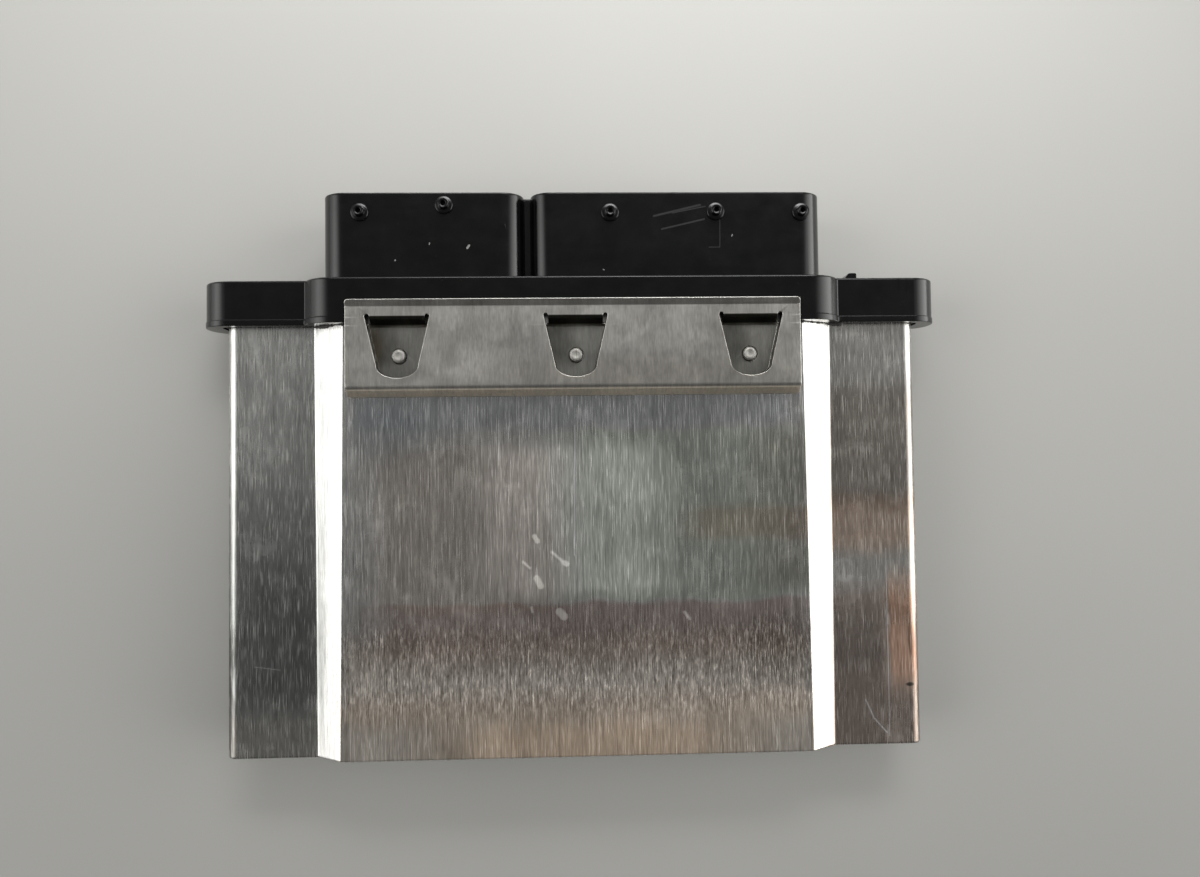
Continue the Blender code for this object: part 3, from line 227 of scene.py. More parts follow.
TABLE_HALF = 3.0
TABLE_Z = -0.0003
table_mesh = bpy.data.meshes.new("table")
corners = [(x, y, TABLE_Z) for x, y in rectangle(-TABLE_HALF, -TABLE_HALF, TABLE_HALF, TABLE_HALF)]
table_mesh.from_pydata(corners, [], [(0, 1, 2, 3)])
table = bpy.data.objects.new("table", table_mesh)
bpy.context.scene.collection.objects.link(table)
laminate, tree, shader = new_material("table_laminate")
cloud = noise(tree, object_place(tree), 6.0, 2.0)
greys = ((0.35, (0.368, 0.364, 0.345)), (0.7, (0.392, 0.388, 0.368)))
surface(tree, shader, ramp(tree, cloud, greys), 0.55)
table_mesh.materials.append(laminate)

# Can: the unit's housing, one shell of soft aluminium, impact-extruded to a flat hat section and open at
# the front. It is bare metal, drawn fine along its length and stained by handling. Three studs are
# half-sheared out of its top for the clip's tongues.
MM = 0.001
CAN_LOW, CAN_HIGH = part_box("housing_can")
BOARD_LOW, BOARD_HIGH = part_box("circuit_board")
MID_Z = (BOARD_LOW.z + BOARD_HIGH.z) / 2
CAN_HALF_WIDTH = CAN_HIGH.x
CAN_BACK_Y, CAN_MOUTH_Y = CAN_LOW.y, CAN_HIGH.y
CAN_WING_HALF = 5.0 * MM
CAN_CROWN_HALF = MID_Z - CAN_LOW.z
CAN_TOP_Z = MID_Z + CAN_CROWN_HALF
CAN_END_RADIUS = 2.2 * MM
CAN_OUTER_ROUND = 3.1 * MM     # the wings' outer edges as they show, a little fuller than at the groove
CAN_EDGE_RADIUS, LEAST_RADIUS = 1.2 * MM, 0.5 * MM
CAN_BACK_SLOPE = (70.8 * MM, 63.8 * MM)     # foot and shoulder of the slope at the back wall
CAN_MOUTH_SLOPE = (71.5 * MM, 62.7 * MM)    # and at the open mouth
CAN_BACK_ROUND = 0.6 * MM
CAN_WALL = 1.5 * MM
CAN_BACK_WALL = 2.0 * MM
BOARD_SLOT_HALF = 1.1 * MM
BOARD_RIB_X = CAN_HALF_WIDTH - CAN_WALL - 2.8 * MM
STUD_Y = 32.1 * MM
WINDOW_PLACES = (-47.4 * MM, 0.3 * MM, 47.7 * MM)
PAST = 1.0 * MM
ARC_STEPS = 12
EDGE_MARGIN = 0.25 * MM        # flats get a point this far from each arc, so that they stay flat


def arcs(corners, steps=ARC_STEPS, margin=EDGE_MARGIN):
    """Closed outline through (u, v, radius) corners, each rounded by an arc."""
    outline = []
    for index, (u, v, radius) in enumerate(corners):
        here = Vector((u, v))
        if radius <= 0:
            outline.append((u, v))
            continue
        before = (Vector(corners[index - 1][:2]) - here).normalized()
        after = (Vector(corners[(index + 1) % len(corners)][:2]) - here).normalized()
        half = math.acos(max(-1.0, min(1.0, before.dot(after)))) / 2
        reach = radius / math.tan(half)
        centre = here + (before + after).normalized() * radius / math.sin(half)
        start, end = here + before * reach - centre, here + after * reach - centre
        first = math.atan2(start.y, start.x)
        sweep = (math.atan2(end.y, end.x) - first + math.pi) % (2 * math.pi) - math.pi
        if margin:
            outline.append(tuple(here + before * (reach + margin)))
        for step in range(steps + 1):
            angle = first + sweep * step / steps
            outline.append((centre.x + radius * math.cos(angle), centre.y + radius * math.sin(angle)))
        if margin:
            outline.append(tuple(here + after * (reach + margin)))
    return outline


def mesh_object(name, mesh):
    bmesh.ops.recalc_face_normals(mesh, faces=mesh.faces)
    data = bpy.data.meshes.new(name)
    mesh.to_mesh(data)
    mesh.free()
    thing = bpy.data.objects.new(name, data)
    bpy.context.scene.collection.objects.link(thing)
    return thing


def joined_rings(mesh, rings):
    """Closed skin over rings of equal point counts, with a face over each end."""
    mesh.faces.new(rings[0])
    mesh.faces.new(rings[-1])
    count = len(rings[0])
    for lower, upper in zip(rings, rings[1:]):
        for index in range(count):
            after = (index + 1) % count
            mesh.faces.new((lower[index], lower[after], upper[after], upper[index]))


def loft(name, sections, axis="Y"):
    """Solid through outlines, given as (distance along the axis, outline)."""
    mesh = bmesh.new()
    rings = []
    for along, outline in sections:
        if axis == "Y":
            rings.append([mesh.verts.new((u, along, v)) for u, v in outline])
        else:
            rings.append([mesh.verts.new((u, v, along)) for u, v in outline])
    joined_rings(mesh, rings)
    return mesh_object(name, mesh)


def turned(name, profile, place, sides=48):
    """Solid turned about a vertical axis from (radius, height) points."""
    outlines = []
    for radius, height in profile:
        ring = [(place[0] + radius * math.cos(2 * math.pi * side / sides),
                 place[1] + radius * math.sin(2 * math.pi * side / sides)) for side in range(sides)]
        outlines.append((height, ring))
    return loft(name, outlines, "Z")


def block(name, low, high):
    outline = rectangle(low[0], low[1], high[0], high[1])
    return loft(name, ((low[2], outline), (high[2], outline)), "Z")


def combine(thing, tools, operation):
    """Cuts or joins a solid with tool shapes that lie clear of each other."""
    mesh = bmesh.new()
    for tool in tools:
        mesh.from_mesh(tool.data)
        bpy.data.objects.remove(tool, do_unlink=True)
    tool = mesh_object(thing.name + "_tool", mesh)
    step = thing.modifiers.new("shape", "BOOLEAN")
    step.operation = operation
    step.solver = "EXACT"
    step.object = tool
    evaluated = thing.evaluated_get(bpy.context.evaluated_depsgraph_get())
    shaped = bpy.data.meshes.new_from_object(evaluated)
    thing.modifiers.clear()
    thing.data = shaped
    bpy.data.objects.remove(tool, do_unlink=True)


def finished(thing, material, slot, *nodes, sharp=33.0):
    """Cleans and shades a piece, gives it its finish and hides the CAD nodes that it stands for."""
    mesh = bmesh.new()
    mesh.from_mesh(thing.data)
    bmesh.ops.remove_doubles(mesh, verts=mesh.verts, dist=1e-6)
    bmesh.ops.dissolve_degenerate(mesh, edges=mesh.edges, dist=1e-6)
    mesh.to_mesh(thing.data)
    mesh.free()
    thing.data.shade_smooth()
    thing.data.set_sharp_from_angle(angle=math.radians(sharp))
    weights = thing.modifiers.new("weights", "WEIGHTED_NORMAL")
    weights.keep_sharp = True
    evaluated = thing.evaluated_get(bpy.context.evaluated_depsgraph_get())
    thing.data = bpy.data.meshes.new_from_object(evaluated)
    thing.modifiers.clear()
    thing.data.materials.clear()
    thing.data.materials.append(material)
    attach(thing, "root")
    if nodes:
        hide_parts(*nodes)
    return thing


def mirrored_section(right, steps, margin):
    """Closed section from its upper right corners, the same left and right and above and below."""
    upper = [*right, *((-x, z, radius) for x, z, radius in reversed(right))]
    lower = [(-x, -z, radius) for x, z, radius in upper]
    return arcs([(x, MID_Z + z, radius) for x, z, radius in (*upper, *lower)], steps, margin)


def grown_sizes(slope, growth):
    """Half width, wing and crown heights, foot and shoulder of the can's section grown by a distance."""
    foot, shoulder = slope
    shift = growth * math.tan(math.atan2(CAN_CROWN_HALF - CAN_WING_HALF, foot - shoulder) / 2)
    return (CAN_HALF_WIDTH + growth, CAN_WING_HALF + growth, CAN_CROWN_HALF + growth,
            foot + shift, shoulder + shift)


def hat_outline(slope, growth=0.0, steps=ARC_STEPS, margin=EDGE_MARGIN, end_radius=CAN_END_RADIUS):
    """The can's section between its wings' rounded outer edges, grown by a distance."""
    width, wing, crown, foot, shoulder = grown_sizes(slope, growth)
    right = ((width, wing, max(end_radius + growth, LEAST_RADIUS)), (foot, wing, CAN_EDGE_RADIUS),
             (shoulder, crown, CAN_EDGE_RADIUS))
    return mirrored_section(right, steps, margin)


def slope_at(y):
    share = (y - CAN_BACK_Y) / (CAN_MOUTH_Y - CAN_BACK_Y)
    return [back + share * (mouth - back) for back, mouth in zip(CAN_BACK_SLOPE, CAN_MOUTH_SLOPE)]


def cavity_outline(slope):
    """The can's hollow, with the ribs that hold the board's edges."""
    width, wing, crown, foot, shoulder = grown_sizes(slope, -CAN_WALL)
    right = ((width, BOARD_SLOT_HALF, 0), (BOARD_RIB_X, BOARD_SLOT_HALF, 0), (BOARD_RIB_X, wing, 0),
             (foot, wing, CAN_EDGE_RADIUS), (shoulder, crown, CAN_EDGE_RADIUS))
    return mirrored_section(right, 4, 0)


ROUND_STEPS = 6
can_sections = []
for step in range(ROUND_STEPS + 1):
    angle = math.pi / 2 * step / ROUND_STEPS
    y = CAN_BACK_Y + CAN_BACK_ROUND * (1 - math.cos(angle))
    drawn = -CAN_BACK_ROUND * (1 - math.sin(angle))
    can_sections.append((y, hat_outline(slope_at(y), drawn, end_radius=CAN_OUTER_ROUND)))
for y in (CAN_BACK_Y + CAN_BACK_ROUND + EDGE_MARGIN, CAN_MOUTH_Y - EDGE_MARGIN, CAN_MOUTH_Y):
    can_sections.append((y, hat_outline(slope_at(y), end_radius=CAN_OUTER_ROUND)))
can = loft("can_shell", can_sections)
cavity = [(y, cavity_outline(slope_at(y))) for y in (CAN_BACK_Y + CAN_BACK_WALL, CAN_MOUTH_Y + PAST)]
combine(can, [loft("cavity", cavity)], "DIFFERENCE")
STUD_PROFILE = ((2.1, -2.4), (2.1, -2.04), (1.98, -1.92), (1.9, -1.8), (1.85, -1.55), (1.85, -0.65),
                (1.8, -0.42), (1.68, -0.24), (1.48, -0.09), (1.22, -0.01), (0.98, -0.02), (0.78, -0.08),
                (0.5, -0.16), (0.2, -0.19))
stud_profile = [(radius * MM, CAN_HIGH.z + drop * MM) for radius, drop in STUD_PROFILE]
combine(can, [turned("stud", stud_profile, (x, STUD_Y)) for x in WINDOW_PLACES], "UNION")


def stroke(tree, place, start, end, half_width, soft):
    """1 on a straight line between two points of the part, fading across it."""
    along = Vector(end) - Vector(start)
    offset = vector_maths(tree, "SUBTRACT", place, tuple(start))
    dot = vector_maths(tree, "DOT_PRODUCT", offset, tuple(along))
    share = maths(tree, "DIVIDE", dot, along.length_squared, clamp=True)
    nearest = vector_maths(tree, "SCALE", tuple(along), scale=share)
    away = vector_maths(tree, "LENGTH", vector_maths(tree, "SUBTRACT", offset, nearest))
    return between(tree, away, half_width + soft, half_width)


def patch(tree, place, centre, half_sizes, inner=0.35):
    """1 in the middle of an oval, fading to 0 at its edge."""
    offset = vector_maths(tree, "SUBTRACT", place, tuple(centre))
    scaled = vector_maths(tree, "DIVIDE", offset, tuple(half_sizes))
    return between(tree, vector_maths(tree, "LENGTH", scaled), 1.0, inner)


def strongest(tree, masks):
    total = masks[0]
    for mask in masks[1:]:
        total = maths(tree, "MAXIMUM", total, mask)
    return total


def strokes(tree, place, rows):
    """Several strokes, each given in mm as (start, end, half width, soft edge)."""
    masks = []
    for start, end, width, soft in rows:
        start, end = [value * MM for value in start], [value * MM for value in end]
        masks.append(stroke(tree, place, start, end, width * MM, soft * MM))
    return strongest(tree, masks)


def zone(tree, place, low, high, soft):
    """1 inside a rectangle of x and y in mm; soft gives the fading margins at sides, back and front."""
    side, back, front = soft
    along_x, along_y, _ = axes_of(tree, place)
    mask = None
    for along, edge, inner in ((along_x, low[0], low[0] + side), (along_x, high[0], high[0] - side),
                               (along_y, low[1], low[1] + back), (along_y, high[1], high[1] - front)):
        fade = between(tree, along, edge * MM, inner * MM)
        mask = fade if mask is None else times(tree, mask, fade)
    return mask


def tinted(tree, before, mask, colour, strength=1.0):
    return mixed(tree, times(tree, mask, strength), before, colour, "MULTIPLY")


def toned(tree, place, colour, rows):
    """Tints rectangles of a surface, each given as (low, high, soft margins, tint)."""
    for low, high, soft, tint in rows:
        colour = tinted(tree, colour, zone(tree, place, low, high, soft), tint)
    return colour


aluminium, tree, shader = new_material("drawn_aluminium", 1.0)
place = object_place(tree)
# The same places shaken by up to 2 mm, which gives tints and worn spots their uneven borders
wander = wired(tree, "ShaderNodeTexNoise", {"Vector": place, "Scale": 90.0}, "Color")
centred = vector_maths(tree, "SUBTRACT", wander, (0.5, 0.5, 0.5))
loose = vector_maths(tree, "ADD", place, vector_maths(tree, "SCALE", centred, scale=0.004))
fine = noise(tree, object_place(tree, (3600.0, 150.0, 900.0)), 1.0, 2.0, 0.7)
coarse = noise(tree, object_place(tree, (1500.0, 24.0, 260.0)), 1.0, 3.0, 0.6)
hair = noise(tree, object_place(tree, (7000.0, 150.0, 900.0), (0.3, 0.7, 0.1)), 1.0, 1.0, 0.5)
broad = noise(tree, object_place(tree, (260.0, 7.0, 60.0)), 1.0, 2.0)
cloudy = noise(tree, loose, 42.0, 4.0, 0.6)
smudges = noise(tree, object_place(tree, (110.0, 90.0, 110.0), (0.0, 3.0, 0.0)), 1.0, 4.0, 0.65, 0.4)
grain = noise(tree, object_place(tree, (2900.0, 420.0, 900.0)), 1.0, 2.0, 0.65)

# Tints on the top and the wings, as (low, high, soft margin, colour), in mm: stains left by oil, heat and
# hands, mixed with painted reflections of the room and painted shade. The first two rows are painted shade on
# the wings' rounded outer edges towards the back, and the third is a painted shade band behind and under the
# clip's heel
STAINS_AND_PAINTED_SHADING = (
    ((-99.0, -84.0), (-92.6, -34.0), (1.0, 0.5, 16.0), (0.42, 0.41, 0.40)),
    ((91.8, -84.0), (98.0, -34.0), (1.0, 0.5, 16.0), (0.46, 0.44, 0.42)),
    ((-64.0, 11.0), (64.0, 30.0), (8.0, 3.0, 3.0), (0.86, 0.89, 0.93)),
    ((-14.0, -34.6), (75.0, 13.0), (26.0, 0.8, 2.5), (0.93, 1.0, 0.92)),
    ((24.0, -20.0), (75.0, -8.0), (14.0, 3.5, 3.5), (0.98, 0.86, 0.80)),
    ((-62.0, -39.0), (2.0, 12.0), (16.0, 5.0, 9.0), (1.0, 0.93, 0.88)),
    ((-66.0, -56.0), (75.0, -34.2), (22.0, 14.0, 1.6), (0.84, 0.71, 0.68)),
    ((34.0, -60.0), (75.0, -36.0), (18.0, 6.0, 6.0), (0.74, 0.74, 0.73)),
    ((40.0, -36.0), (75.0, 16.0), (18.0, 8.0, 8.0), (0.76, 0.73, 0.71)),
    ((-66.0, -70.0), (66.0, -40.0), (6.0, 8.0, 8.0), (1.06, 0.98, 0.91)),
    ((-52.0, -84.0), (60.0, -62.0), (34.0, 0.5, 9.0), (1.16, 1.02, 0.89)),
    ((-66.0, -84.0), (68.0, -56.0), (4.0, 0.5, 9.0), (1.02, 0.94, 0.86)),
    ((-66.0, 0.0), (-34.0, 24.0), (12.0, 10.0, 10.0), (0.80, 0.83, 0.86)),
    ((-104.0, -72.0), (-66.0, 22.0), (8.0, 16.0, 60.0), (0.42, 0.43, 0.43)),
    ((-104.0, -80.0), (-66.0, 46.0), (4.0, 6.0, 3.0), (0.86, 0.87, 0.87)),
    ((-104.0, -84.0), (-66.0, -58.0), (10.0, 14.0, 14.0), (0.86, 0.84, 0.80)),
    ((66.0, -14.0), (104.0, 30.0), (3.0, 7.0, 12.0), (0.64, 0.60, 0.57)),
    ((66.0, -26.0), (104.0, -4.0), (3.0, 7.0, 7.0), (1.16, 0.95, 0.83)),
    ((66.0, -84.0), (104.0, -28.0), (3.0, 0.5, 9.0), (0.74, 0.62, 0.56)),
    ((66.0, -34.0), (104.0, 46.0), (2.0, 6.0, 3.0), (0.86, 0.85, 0.83)),
    ((85.8, -66.0), (96.0, -24.0), (2.2, 12.0, 12.0), (1.35, 1.06, 0.90)),
    ((66.0, -64.0), (86.6, -30.0), (5.0, 14.0, 14.0), (0.82, 0.84, 0.86)),
)
streak = plus(tree, times(tree, fine, 0.55), times(tree, coarse, 0.45))
bright_hair = between(tree, hair, 0.58, 0.70)
dark_hair = between(tree, hair, 0.40, 0.28)
greys = ((0.32, (0.50, 0.495, 0.475)), (0.50, (0.71, 0.70, 0.675)), (0.68, (0.92, 0.91, 0.88)))
colour = ramp(tree, streak, greys)
colour = mixed(tree, 1.0, colour, ramp(tree, broad, ((0.3, 0.88), (0.7, 1.0))), "MULTIPLY")
colour = mixed(tree, 1.0, colour, ramp(tree, cloudy, ((0.32, 0.86), (0.68, 1.0))), "MULTIPLY")
plain = colour
# Stains together with painted reflections and painted shade
colour = toned(tree, loose, colour, STAINS_AND_PAINTED_SHADING)
colour = tinted(tree, colour, dark_hair, (0.72, 0.72, 0.73))
colour = mixed(tree, times(tree, bright_hair, 0.34), colour, (0.95, 0.94, 0.91))
# Coarse torn grain towards the back, where the extruded skin was drawn less
torn_zone = zone(tree, loose, (-72.0, -70.0), (74.0, -34.0), (12.0, 10.0, 12.0))
torn_bright = times(tree, torn_zone, between(tree, grain, 0.52, 0.68))
torn_dark = times(tree, torn_zone, between(tree, grain, 0.47, 0.32))
colour = tinted(tree, colour, torn_dark, (0.62, 0.59, 0.57))
colour = mixed(tree, times(tree, torn_bright, 0.5), colour, (1.0, 0.92, 0.84))
# Dried smears of hands and fluids
smeared = between(tree, smudges, 0.52, 0.72)
colour = mixed(tree, times(tree, smeared, 0.07), colour, (0.98, 0.96, 0.92))
wing_z = MID_Z + CAN_WING_HALF
_, can_y, can_z = axes_of(tree, place)
# Tints and smears keep to the upper side; the back wall and the underside stay plain
on_top = times(tree, between(tree, can_z, wing_z - 3.0 * MM, wing_z - 2.4 * MM),
               between(tree, can_y, CAN_BACK_Y + 0.1 * MM, CAN_BACK_Y + 0.5 * MM))
colour = mixed(tree, on_top, plain, colour)
# Scratches on the top at 22.6 mm and on the wings at 17.8 mm, then dried dabs on the top
SCRATCHES = (
    ((-0.2, 13.1, 22.6), (-0.8, -22.1, 22.6), 0.07, 0.10),
    ((79.8, -64.0, 17.8), (82.0, -69.0, 17.8), 0.08, 0.2),
    ((82.0, -69.0, 17.8), (85.5, -73.0, 17.8), 0.08, 0.2),
    ((-33.0, 15.0, 22.6), (-33.1, 3.0, 22.6), 0.04, 0.08),
    ((21.0, 14.0, 22.6), (20.8, -6.0, 22.6), 0.04, 0.08),
    ((44.0, 12.0, 22.6), (43.9, -1.0, 22.6), 0.03, 0.07),
    ((-88.0, -51.5, 17.8), (-81.0, -52.5, 17.8), 0.02, 0.08),
    ((-52.0, -9.0, 22.6), (-52.1, -22.0, 22.6), 0.03, 0.07),
    ((86.3, -22.0, 17.8), (86.3, -74.0, 17.8), 0.03, 0.12),
)
DABS = (((-11.5, -16.9), (-10.7, -18.2), 0.35), ((-6.8, -21.2), (-3.8, -23.9), 0.05),
        ((-3.6, -24.1), (-2.8, -24.5), 0.4), ((-11.0, -28.2), (-9.9, -30.3), 0.55),
        ((-4.9, -37.3), (-3.7, -38.6), 0.75), ((29.0, -38.0), (30.3, -39.8), 0.1),
        ((-14.6, -23.7), (-12.8, -25.4), 0.02), ((-12.5, -36.0), (-12.2, -37.2), 0.05))
top = CAN_TOP_Z / MM
lines = strokes(tree, place, SCRATCHES)
dried = strokes(tree, place, [((*start, top), (*end, top), width, 0.6) for start, end, width in DABS])
colour = mixed(tree, times(tree, lines, 0.9), colour, (1.0, 1.0, 1.0))
colour = mixed(tree, times(tree, dried, 0.5), colour, (0.95, 0.93, 0.88))
ring_place = (75.2 * MM, -27.9 * MM, wing_z)
from_ring = vector_maths(tree, "DISTANCE", loose, ring_place)
ring = times(tree, patch(tree, loose, ring_place, (3.4 * MM, 3.4 * MM, 3.4 * MM), 0.8),
             between(tree, from_ring, 1.6 * MM, 2.4 * MM))
colour = mixed(tree, times(tree, ring, 0.3), colour, (1.0, 0.98, 0.95))
stud = between(tree, can_z, CAN_TOP_Z + 0.1 * MM, CAN_TOP_Z + 0.3 * MM)
colour = tinted(tree, colour, stud, (0.62, 0.61, 0.59))
pit = patch(tree, place, (92.3 * MM, -59.9 * MM, wing_z), (1.5 * MM, 0.7 * MM, 1.5 * MM), 0.5)
colour = mixed(tree, times(tree, pit, 0.9), colour, (0.05, 0.05, 0.045))
rough = 0.14
for mask, amount in ((cloudy, 0.12), (fine, 0.10), (bright_hair, 0.14), (torn_bright, 0.12),
                     (maths(tree, "MULTIPLY_ADD", smeared, 0.4, dried), 0.12)):
    rough = maths(tree, "MULTIPLY_ADD", mask, amount, rough)
# Places worn matt, as (low, high, soft margin, added roughness)
WORN = (((-66.0, -84.0), (68.0, -44.0), (10.0, 0.5, 18.0), 0.14),
        ((-34.0, -36.0), (34.0, 12.0), (20.0, 6.0, 8.0), 0.13),
        ((-40.0, -84.0), (50.0, -62.0), (22.0, 0.5, 10.0), 0.05),
        ((84.0, -66.0), (98.0, -40.0), (3.0, 8.0, 8.0), 0.10))
for low, high, soft, amount in WORN:
    rough = maths(tree, "MULTIPLY_ADD", zone(tree, loose, low, high, soft), amount, rough)
surface(tree, shader, colour, maths(tree, "MULTIPLY_ADD", stud, 0.35, rough))
relief = plus(tree, times(tree, streak, 0.6), times(tree, torn_bright, 0.8))
relief = maths(tree, "SUBTRACT", relief, times(tree, lines, 0.5))
bump(tree, shader, relief, 0.00002, 0.35)
finished(can, aluminium, "drawn_aluminium", "housing_can")

# Header: one black glass-filled moulding. Its flange takes the can's rim in a groove, a collar and two
# arms reach in to hold the board, and two shrouds with rounded corners form the sockets in front.
FLANGE_HALF_WIDTH = CAN_HALF_WIDTH + 6.25 * MM
FLANGE_WING_HALF = CAN_WING_HALF + 3.0 * MM
FLANGE_CROWN_HALF = CAN_CROWN_HALF + 3.0 * MM
FLANGE_FOOT = CAN_MOUTH_SLOPE[0] + 1.7 * MM
FLANGE_CORNER = FLANGE_FOOT - 3.0 * MM
FLANGE_END_RADIUS, FLANGE_FOOT_RADIUS, FLANGE_CORNER_RADIUS = 7.3 * MM, 0.5 * MM, 9.6 * MM
FLANGE_BACK_Y, FLANGE_FRONT_Y = 41.1 * MM, 53.4 * MM
FLANGE_TOP_Z = MID_Z + FLANGE_CROWN_HALF
RIM_WIDTH, RIM_PROUD = 1.6 * MM, 0.15 * MM
FRONT_BREAK = 0.5 * MM
END_WALL_Y = FLANGE_FRONT_Y - 3.0 * MM
GROOVE_CLEARANCE = 1.2 * MM
SHROUD_LEFT, SHROUD_RIGHT = -68.2 * MM, 68.5 * MM
SHROUD_FRONT_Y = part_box("connector_header")[1].y
SHROUD_TOP_Z, SHROUD_BOTTOM_Z = FLANGE_TOP_Z - 1.0 * MM, 1.0 * MM
SHROUD_WALL, SHROUD_RADIUS, SHROUD_BREAK = 1.9 * MM, 6.3 * MM, 0.35 * MM
SHROUD_SPLIT_X = -12.7 * MM
VALLEY_RADIUS, VALLEY_DEPTH, VALLEY_WIDTH, VALLEY_FLOOR_RADIUS = 5.6 * MM, 6.2 * MM, 1.9 * MM, 0.3 * MM
PARTITION = 4.2 * MM
SOCKET_RADIUS = 4.0 * MM
MOUTH_BREAK = 0.35 * MM
TONGUE_POCKET_HALF = 9.05 * MM
TONGUE_POCKET_DEPTH = 2.6 * MM
OVERLAP = 0.2 * MM             # joined shapes reach this far into each other
ARC_MARGIN = 0.02 * MM         # as EDGE_MARGIN, for the header's outlines


def flange_outline(growth):
    wing, crown = FLANGE_WING_HALF + growth, FLANGE_CROWN_HALF + min(growth, 0.0)
    right = ((FLANGE_HALF_WIDTH + growth, wing, FLANGE_END_RADIUS),
             (FLANGE_FOOT + growth, wing, FLANGE_FOOT_RADIUS),
             (FLANGE_CORNER + growth, crown, FLANGE_CORNER_RADIUS))
    return mirrored_section(right, 16, ARC_MARGIN)


def rounded_end(y, radius, outline_at, steps=5):
    """Sections that round off an end of a loft at y, from full size to drawn in by the radius."""
    sections = []
    for step in range(steps + 1):
        angle = math.pi / 2 * step / steps
        sections.append((y - radius * (1 - math.sin(angle)), outline_at(-radius * (1 - math.cos(angle)))))
    return sections


rim_back = FLANGE_BACK_Y + RIM_WIDTH
flange_steps = ((FLANGE_BACK_Y, RIM_PROUD - 0.25 * MM), (FLANGE_BACK_Y + 0.08 * MM, RIM_PROUD - 0.08 * MM),
                (FLANGE_BACK_Y + 0.25 * MM, RIM_PROUD), (rim_back - 0.1 * MM, RIM_PROUD),
                (rim_back, RIM_PROUD * 0.7), (rim_back + 0.12 * MM, 0), (rim_back + 0.4 * MM, 0),
                (FLANGE_FRONT_Y - FRONT_BREAK - 0.3 * MM, 0))
sections = [(y, flange_outline(growth)) for y, growth in flange_steps]
header = loft("header_moulding", sections + rounded_end(FLANGE_FRONT_Y, FRONT_BREAK, flange_outline))
groove_outline = hat_outline(CAN_MOUTH_SLOPE, GROOVE_CLEARANCE, 6, 0)
groove = [(y, groove_outline) for y in (FLANGE_BACK_Y - PAST, END_WALL_Y)]
combine(header, [loft("groove", groove)], "DIFFERENCE")

COLLAR_CLEARANCE, COLLAR_WALL, COLLAR_LENGTH = 0.4 * MM, 1.4 * MM, 6.4 * MM
inner_growth = -CAN_WALL - COLLAR_CLEARANCE


def collar_outline(growth):
    outline = hat_outline(CAN_MOUTH_SLOPE, inner_growth + growth, 6, 0)
    limit = BOARD_RIB_X - COLLAR_CLEARANCE + growth
    return [(max(-limit, min(limit, x)), z) for x, z in outline]


collar_back = END_WALL_Y - COLLAR_LENGTH
collar = loft("collar", [(y, collar_outline(0)) for y in (collar_back, END_WALL_Y + OVERLAP)])
bore = loft("bore", [(y, collar_outline(-COLLAR_WALL)) for y in (collar_back - PAST, END_WALL_Y)])
combine(collar, [bore], "DIFFERENCE")
ARM_X, ARM_WIDTH, ARM_REACH = CAN_HALF_WIDTH - 15.25 * MM, 9.0 * MM, 17.0 * MM
SCREW_HOLE_RADIUS, SCREW_SETBACK = 1.4 * MM, 13.0 * MM
arm_low = MID_Z - (CAN_WING_HALF + inner_growth)
arms = []
for side in (-1, 1):
    arm = block("arm", (side * ARM_X - ARM_WIDTH / 2, END_WALL_Y - ARM_REACH, arm_low + OVERLAP),
                (side * ARM_X + ARM_WIDTH / 2, END_WALL_Y + OVERLAP, BOARD_LOW.z - 0.3 * MM))
    hole = turned("hole", ((SCREW_HOLE_RADIUS, arm_low - PAST), (SCREW_HOLE_RADIUS, BOARD_LOW.z)),
                  (side * ARM_X, END_WALL_Y - SCREW_SETBACK), 24)
    combine(arm, [hole], "DIFFERENCE")
    arms.append(arm)
combine(header, [collar], "UNION")
combine(header, arms, "UNION")


def shroud_outline(growth):
    half = VALLEY_WIDTH / 2 - growth
    left, right = SHROUD_SPLIT_X - half, SHROUD_SPLIT_X + half
    low, high = SHROUD_BOTTOM_Z - growth, SHROUD_TOP_Z + growth
    outer, valley, floor = SHROUD_RADIUS + growth, VALLEY_RADIUS + growth, VALLEY_FLOOR_RADIUS
    row = ((SHROUD_LEFT - growth, 0, outer), (left, 0, valley), (left, VALLEY_DEPTH, floor),
           (right, VALLEY_DEPTH, floor), (right, 0, valley), (SHROUD_RIGHT + growth, 0, outer))
    corners = [(x, low + rise, radius) for x, rise, radius in row]
    corners += [(x, high - rise, radius) for x, rise, radius in reversed(row)]
    return arcs(corners, 14, ARC_MARGIN)


def socket_outline(left, right, growth=0.0):
    low, high = SHROUD_BOTTOM_Z + SHROUD_WALL - growth, SHROUD_TOP_Z - SHROUD_WALL + growth
    radius = SOCKET_RADIUS + growth
    return arcs([(x, z, radius) for x, z in rectangle(left - growth, low, right + growth, high)], 8, 0)


shroud_sections = [(y, shroud_outline(0)) for y in (FLANGE_FRONT_Y - OVERLAP, SHROUD_FRONT_Y - 0.8 * MM)]
shroud = loft("shroud", shroud_sections + rounded_end(SHROUD_FRONT_Y, SHROUD_BREAK, shroud_outline))
combine(header, [shroud], "UNION")
SOCKETS = ((SHROUD_LEFT + SHROUD_WALL, SHROUD_SPLIT_X - PARTITION / 2),
           (SHROUD_SPLIT_X + PARTITION / 2, SHROUD_RIGHT - SHROUD_WALL))
hollows = []
for left, right in SOCKETS:
    hollows.append(loft("hollow", ((FLANGE_FRONT_Y, socket_outline(left, right)),
                                   (SHROUD_FRONT_Y - MOUTH_BREAK, socket_outline(left, right)),
                                   (SHROUD_FRONT_Y + PAST, socket_outline(left, right, MOUTH_BREAK + PAST)))))
combine(header, hollows, "DIFFERENCE")

